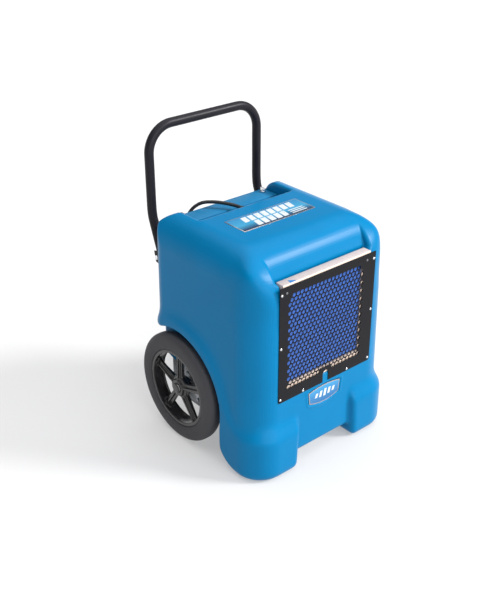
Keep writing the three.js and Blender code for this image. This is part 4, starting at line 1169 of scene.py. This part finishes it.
def make_label():
    """A foil plate with a printed field and a plain pattern of slanted blocks and bars."""
    outline = rounded_rectangle(-LABEL_HALF, LABEL_HALF, LABEL_FRONT, LABEL_REAR, 0.0015, 3)
    base = slab("label_foil", outline, LABEL_LOW - 0.0002, LABEL_LOW + 0.0006)
    softened(base, 0.00025)
    place(base, "cabinet", SILVER_FOIL, "label", "label_plate")
    half = LABEL_HALF - LABEL_EDGE
    field = rounded_rectangle(-half, half, LABEL_FRONT + LABEL_EDGE, LABEL_REAR - LABEL_EDGE, 0.001, 3)
    print_area = slab("label_print_area", field, LABEL_LOW + 0.0004, LABEL_LOW + 0.00072)
    place(print_area, "cabinet", LABEL_PRINT, "label")
    blocks = []
    low, top = LABEL_LOW + 0.0006, LABEL_LOW + 0.00078
    wide, slant = 0.0165, 0.006
    rows = ((-0.0195, 0.0095, -0.082, 0.0215, 8), (-0.0525, -0.0235, -0.066, 0.0215, 5))
    for row, (y0, y1, first, pitch, count) in enumerate(rows):
        for i in range(count):
            x = first + pitch * i
            outline = [(x, y0), (x + wide, y0), (x + wide + slant, y1), (x + slant, y1)]
            blocks.append(slab(f"block_{row}_{i}", outline, low, top))
    for i in range(3):
        y0 = -0.0515 + 0.009 * i
        outline = [(0.050, y0), (0.100, y0), (0.1012, y0 + 0.004), (0.0512, y0 + 0.004)]
        blocks.append(slab(f"bar_{i}", outline, low, top))
    place(joined("label_blocks", *blocks), "cabinet", WHITE_INK, "label")


make_label()


# ---------- badge ----------
def shield_outline(inset):
    """The shield's outline, inwards of its edge by inset, in millimetres."""
    half_top, half_low = SHIELD_HALF[0] - inset, SHIELD_HALF[1] - inset
    top, low = SHIELD_Z[0] - inset * 0.7, SHIELD_Z[1] + inset * 0.7
    bow_top, bow_low = SHIELD_BOW[0] - 0.2 * inset, SHIELD_BOW[1] - 0.2 * inset
    points = []
    for i in range(21):
        x = -half_low + 2 * half_low * i / 20
        points.append((x, low - bow_low * (1 - (x / half_low) ** 2)))
    for i in range(21):
        x = half_top - 2 * half_top * i / 20
        points.append((x, top + bow_top * (1 - (x / half_top) ** 2)))
    return points


BADGE_STOPS = [(0.0, (0.01, 0.10, 0.28)), (1.0, (0.03, 0.26, 0.5)), (0.55, (0.02, 0.16, 0.36))]
BADGE_PRINT = gradient("badge_print", BADGE_STOPS, "Z", 0.160, 0.213)


def make_badge():
    """A foil shield with a printed field and five plain slanted marks."""
    rim = slab("badge_rim", in_metres(shield_outline(0.6)), -0.2349, -0.2367, "y")
    softened(rim, 0.0005)
    place(rim, "cabinet", SILVER_FOIL, "badge", "badge")
    print_area = slab("badge_field", in_metres(shield_outline(3.4)), -0.2365, -0.2370, "y")
    place(print_area, "cabinet", BADGE_PRINT, "badge")
    marks = []
    for i, tall in enumerate((12, 17, 21, 17, 12)):
        x = -34 + 15 * i
        low, high = 188 - tall / 2, 188 + tall / 2
        outline = in_metres([(x, low), (x + 8, low), (x + 12, high), (x + 4, high)])
        marks.append(slab(f"mark_{i}", outline, -0.2369, -0.2373, "y"))
    place(joined("badge_marks", *marks), "cabinet", WHITE_INK, "badge")


make_badge()


# ---------- CAD nodes that stay, with softened edges ----------
def refined(node, body, material, slot, width):
    """A copy of a CAD node with its flat faces merged and its edges rounded, in place of the node."""
    mesh = NODES[node].data.copy()
    made = linked(f"{node}_finished", mesh)
    bm = bmesh.new()
    bm.from_mesh(mesh)
    bmesh.ops.remove_doubles(bm, verts=bm.verts, dist=2e-6)
    bmesh.ops.dissolve_limit(bm, angle_limit=math.radians(1.0), verts=bm.verts, edges=bm.edges)
    bm.to_mesh(mesh)
    bm.free()
    softened(made, width)
    place(made, body, material, slot, node)


REFINED = [
    ("rear_panel", "cabinet", PANEL_BLUE, "panel_blue", 0.0012),
    ("exhaust_grille", "cabinet", BLACK_PAINT, "black_steel", 0.0008),
    ("control_panel", "cabinet", BLACK_PLASTIC, "black_plastic", 0.0006),
    ("display_window", "cabinet", DISPLAY, "display", 0.0004),
    *[(f"button_{i}", f"button_{'_abc'[i]}", BUTTON_GREY, "button_grey", 0.0008) for i in (1, 2, 3)],
    ("power_rocker", "rocker", ROCKER_RED, "rocker_red", 0.0008),
    ("base_frame", "cabinet", GALVANISED, "galvanised", 0.0008),
    *[(f"axle_bracket_{side}", "cabinet", GALVANISED, "galvanised", 0.0008) for side in SIDES],
    *[(f"handle_bracket_{side}", "cabinet", BLACK_PAINT, "black_steel", 0.0007) for side in SIDES],
    *[(f"panel_latch_{side}", f"latch_{side}", BRIGHT_STEEL, "bright_steel", 0.0006) for side in SIDES],
    *[(f"pivot_bolt_{side}", "cabinet", BRIGHT_STEEL, "bright_steel", 0.0006) for side in SIDES],
    ("drain_fitting", "cabinet", BRASS, "brass", 0.0006),
    ("control_box", "cabinet", GALVANISED, "galvanised", 0.0005),
]
for node, body, material, slot_name, width in REFINED:
    refined(node, body, material, slot_name, width)

KEPT = [
    (ALUMINIUM, ("evaporator_coil", "condenser_coil", "fan_blade")),
    (BLACK_PLASTIC, ("drain_pan", "pump_motor")),
    (ENAMEL, ("compressor", "accumulator", "fan_motor")),
    (RUBBER, ("compressor_mount_1", "compressor_mount_2", "compressor_mount_3", "pan_hose")),
    (COPPER, ("suction_line", "discharge_line")),
    (GALVANISED, ("fan_shroud", "motor_bracket")),
    (BRIGHT_STEEL, ("fan_shaft", "axle_left", "axle_right")),
    (WHITE_PLASTIC, ("pump_tank", "wheel_bush_left", "wheel_bush_right")),
    (BOARD_GREEN, ("control_board",)),
]
for material, names in KEPT:
    for node in names:
        NODES[node].data.materials.clear()
        NODES[node].data.materials.append(material)


# ---------- floor and light ----------
FLOOR_HALF = 25


def make_stage():
    """A wide pale floor and a sky that is pale at the horizon and dim overhead."""
    corners = [(u * FLOOR_HALF, v * FLOOR_HALF, 0) for u, v in ((-1, -1), (1, -1), (1, 1), (-1, 1))]
    floor = add_object("floor", corners, [(0, 1, 2, 3)], smooth=False)
    pale = surface("floor_pale", (0.42, 0.42, 0.42), 0.9, scale=2, variation=0.01, bump=0.0, specular=0.1)
    give(pale.node_tree.nodes["Principled BSDF"], Emission_Color=(1, 1, 1, 1), Emission_Strength=0.34)
    floor.data.materials.append(pale)
    world = bpy.data.worlds.new("studio")
    bpy.context.scene.world = world
    world.use_nodes = True
    nodes, links = world.node_tree.nodes, world.node_tree.links
    backdrop = nodes["Background"]
    give(backdrop, Strength=1.0)
    around = nodes.new("ShaderNodeTexCoord")
    split = nodes.new("ShaderNodeSeparateXYZ")
    shade = nodes.new("ShaderNodeValToRGB")
    set_stops(shade, [(0.10, (0.85, 0.85, 0.86)), (0.42, (0.13, 0.13, 0.14))])
    links.new(around.outputs["Generated"], split.inputs["Vector"])
    links.new(split.outputs["Z"], shade.inputs["Fac"])
    links.new(shade.outputs["Color"], backdrop.inputs["Color"])


def far_light(name, towards, strength, angle):
    """A broad, far soft box: parallel light with a wide angle."""
    data = bpy.data.lights.new(name, "SUN")
    data.energy = strength
    data.angle = math.radians(angle)
    light = bpy.data.objects.new(name, data)
    light.rotation_euler = Vector(towards).to_track_quat("Z", "Y").to_euler()
    light.location = Vector(towards) * 4
    bpy.context.scene.collection.objects.link(light)


make_stage()
far_light("key", (0.60, -0.60, 0.55), 3.6, 15)
far_light("front", (-0.05, -0.92, 0.36), 2.1, 60)
far_light("overhead", (0.1, 0.1, 1.0), 2.4, 80)
bpy.context.scene.view_settings.view_transform = "Standard"
bpy.context.scene.view_settings.look = "None"
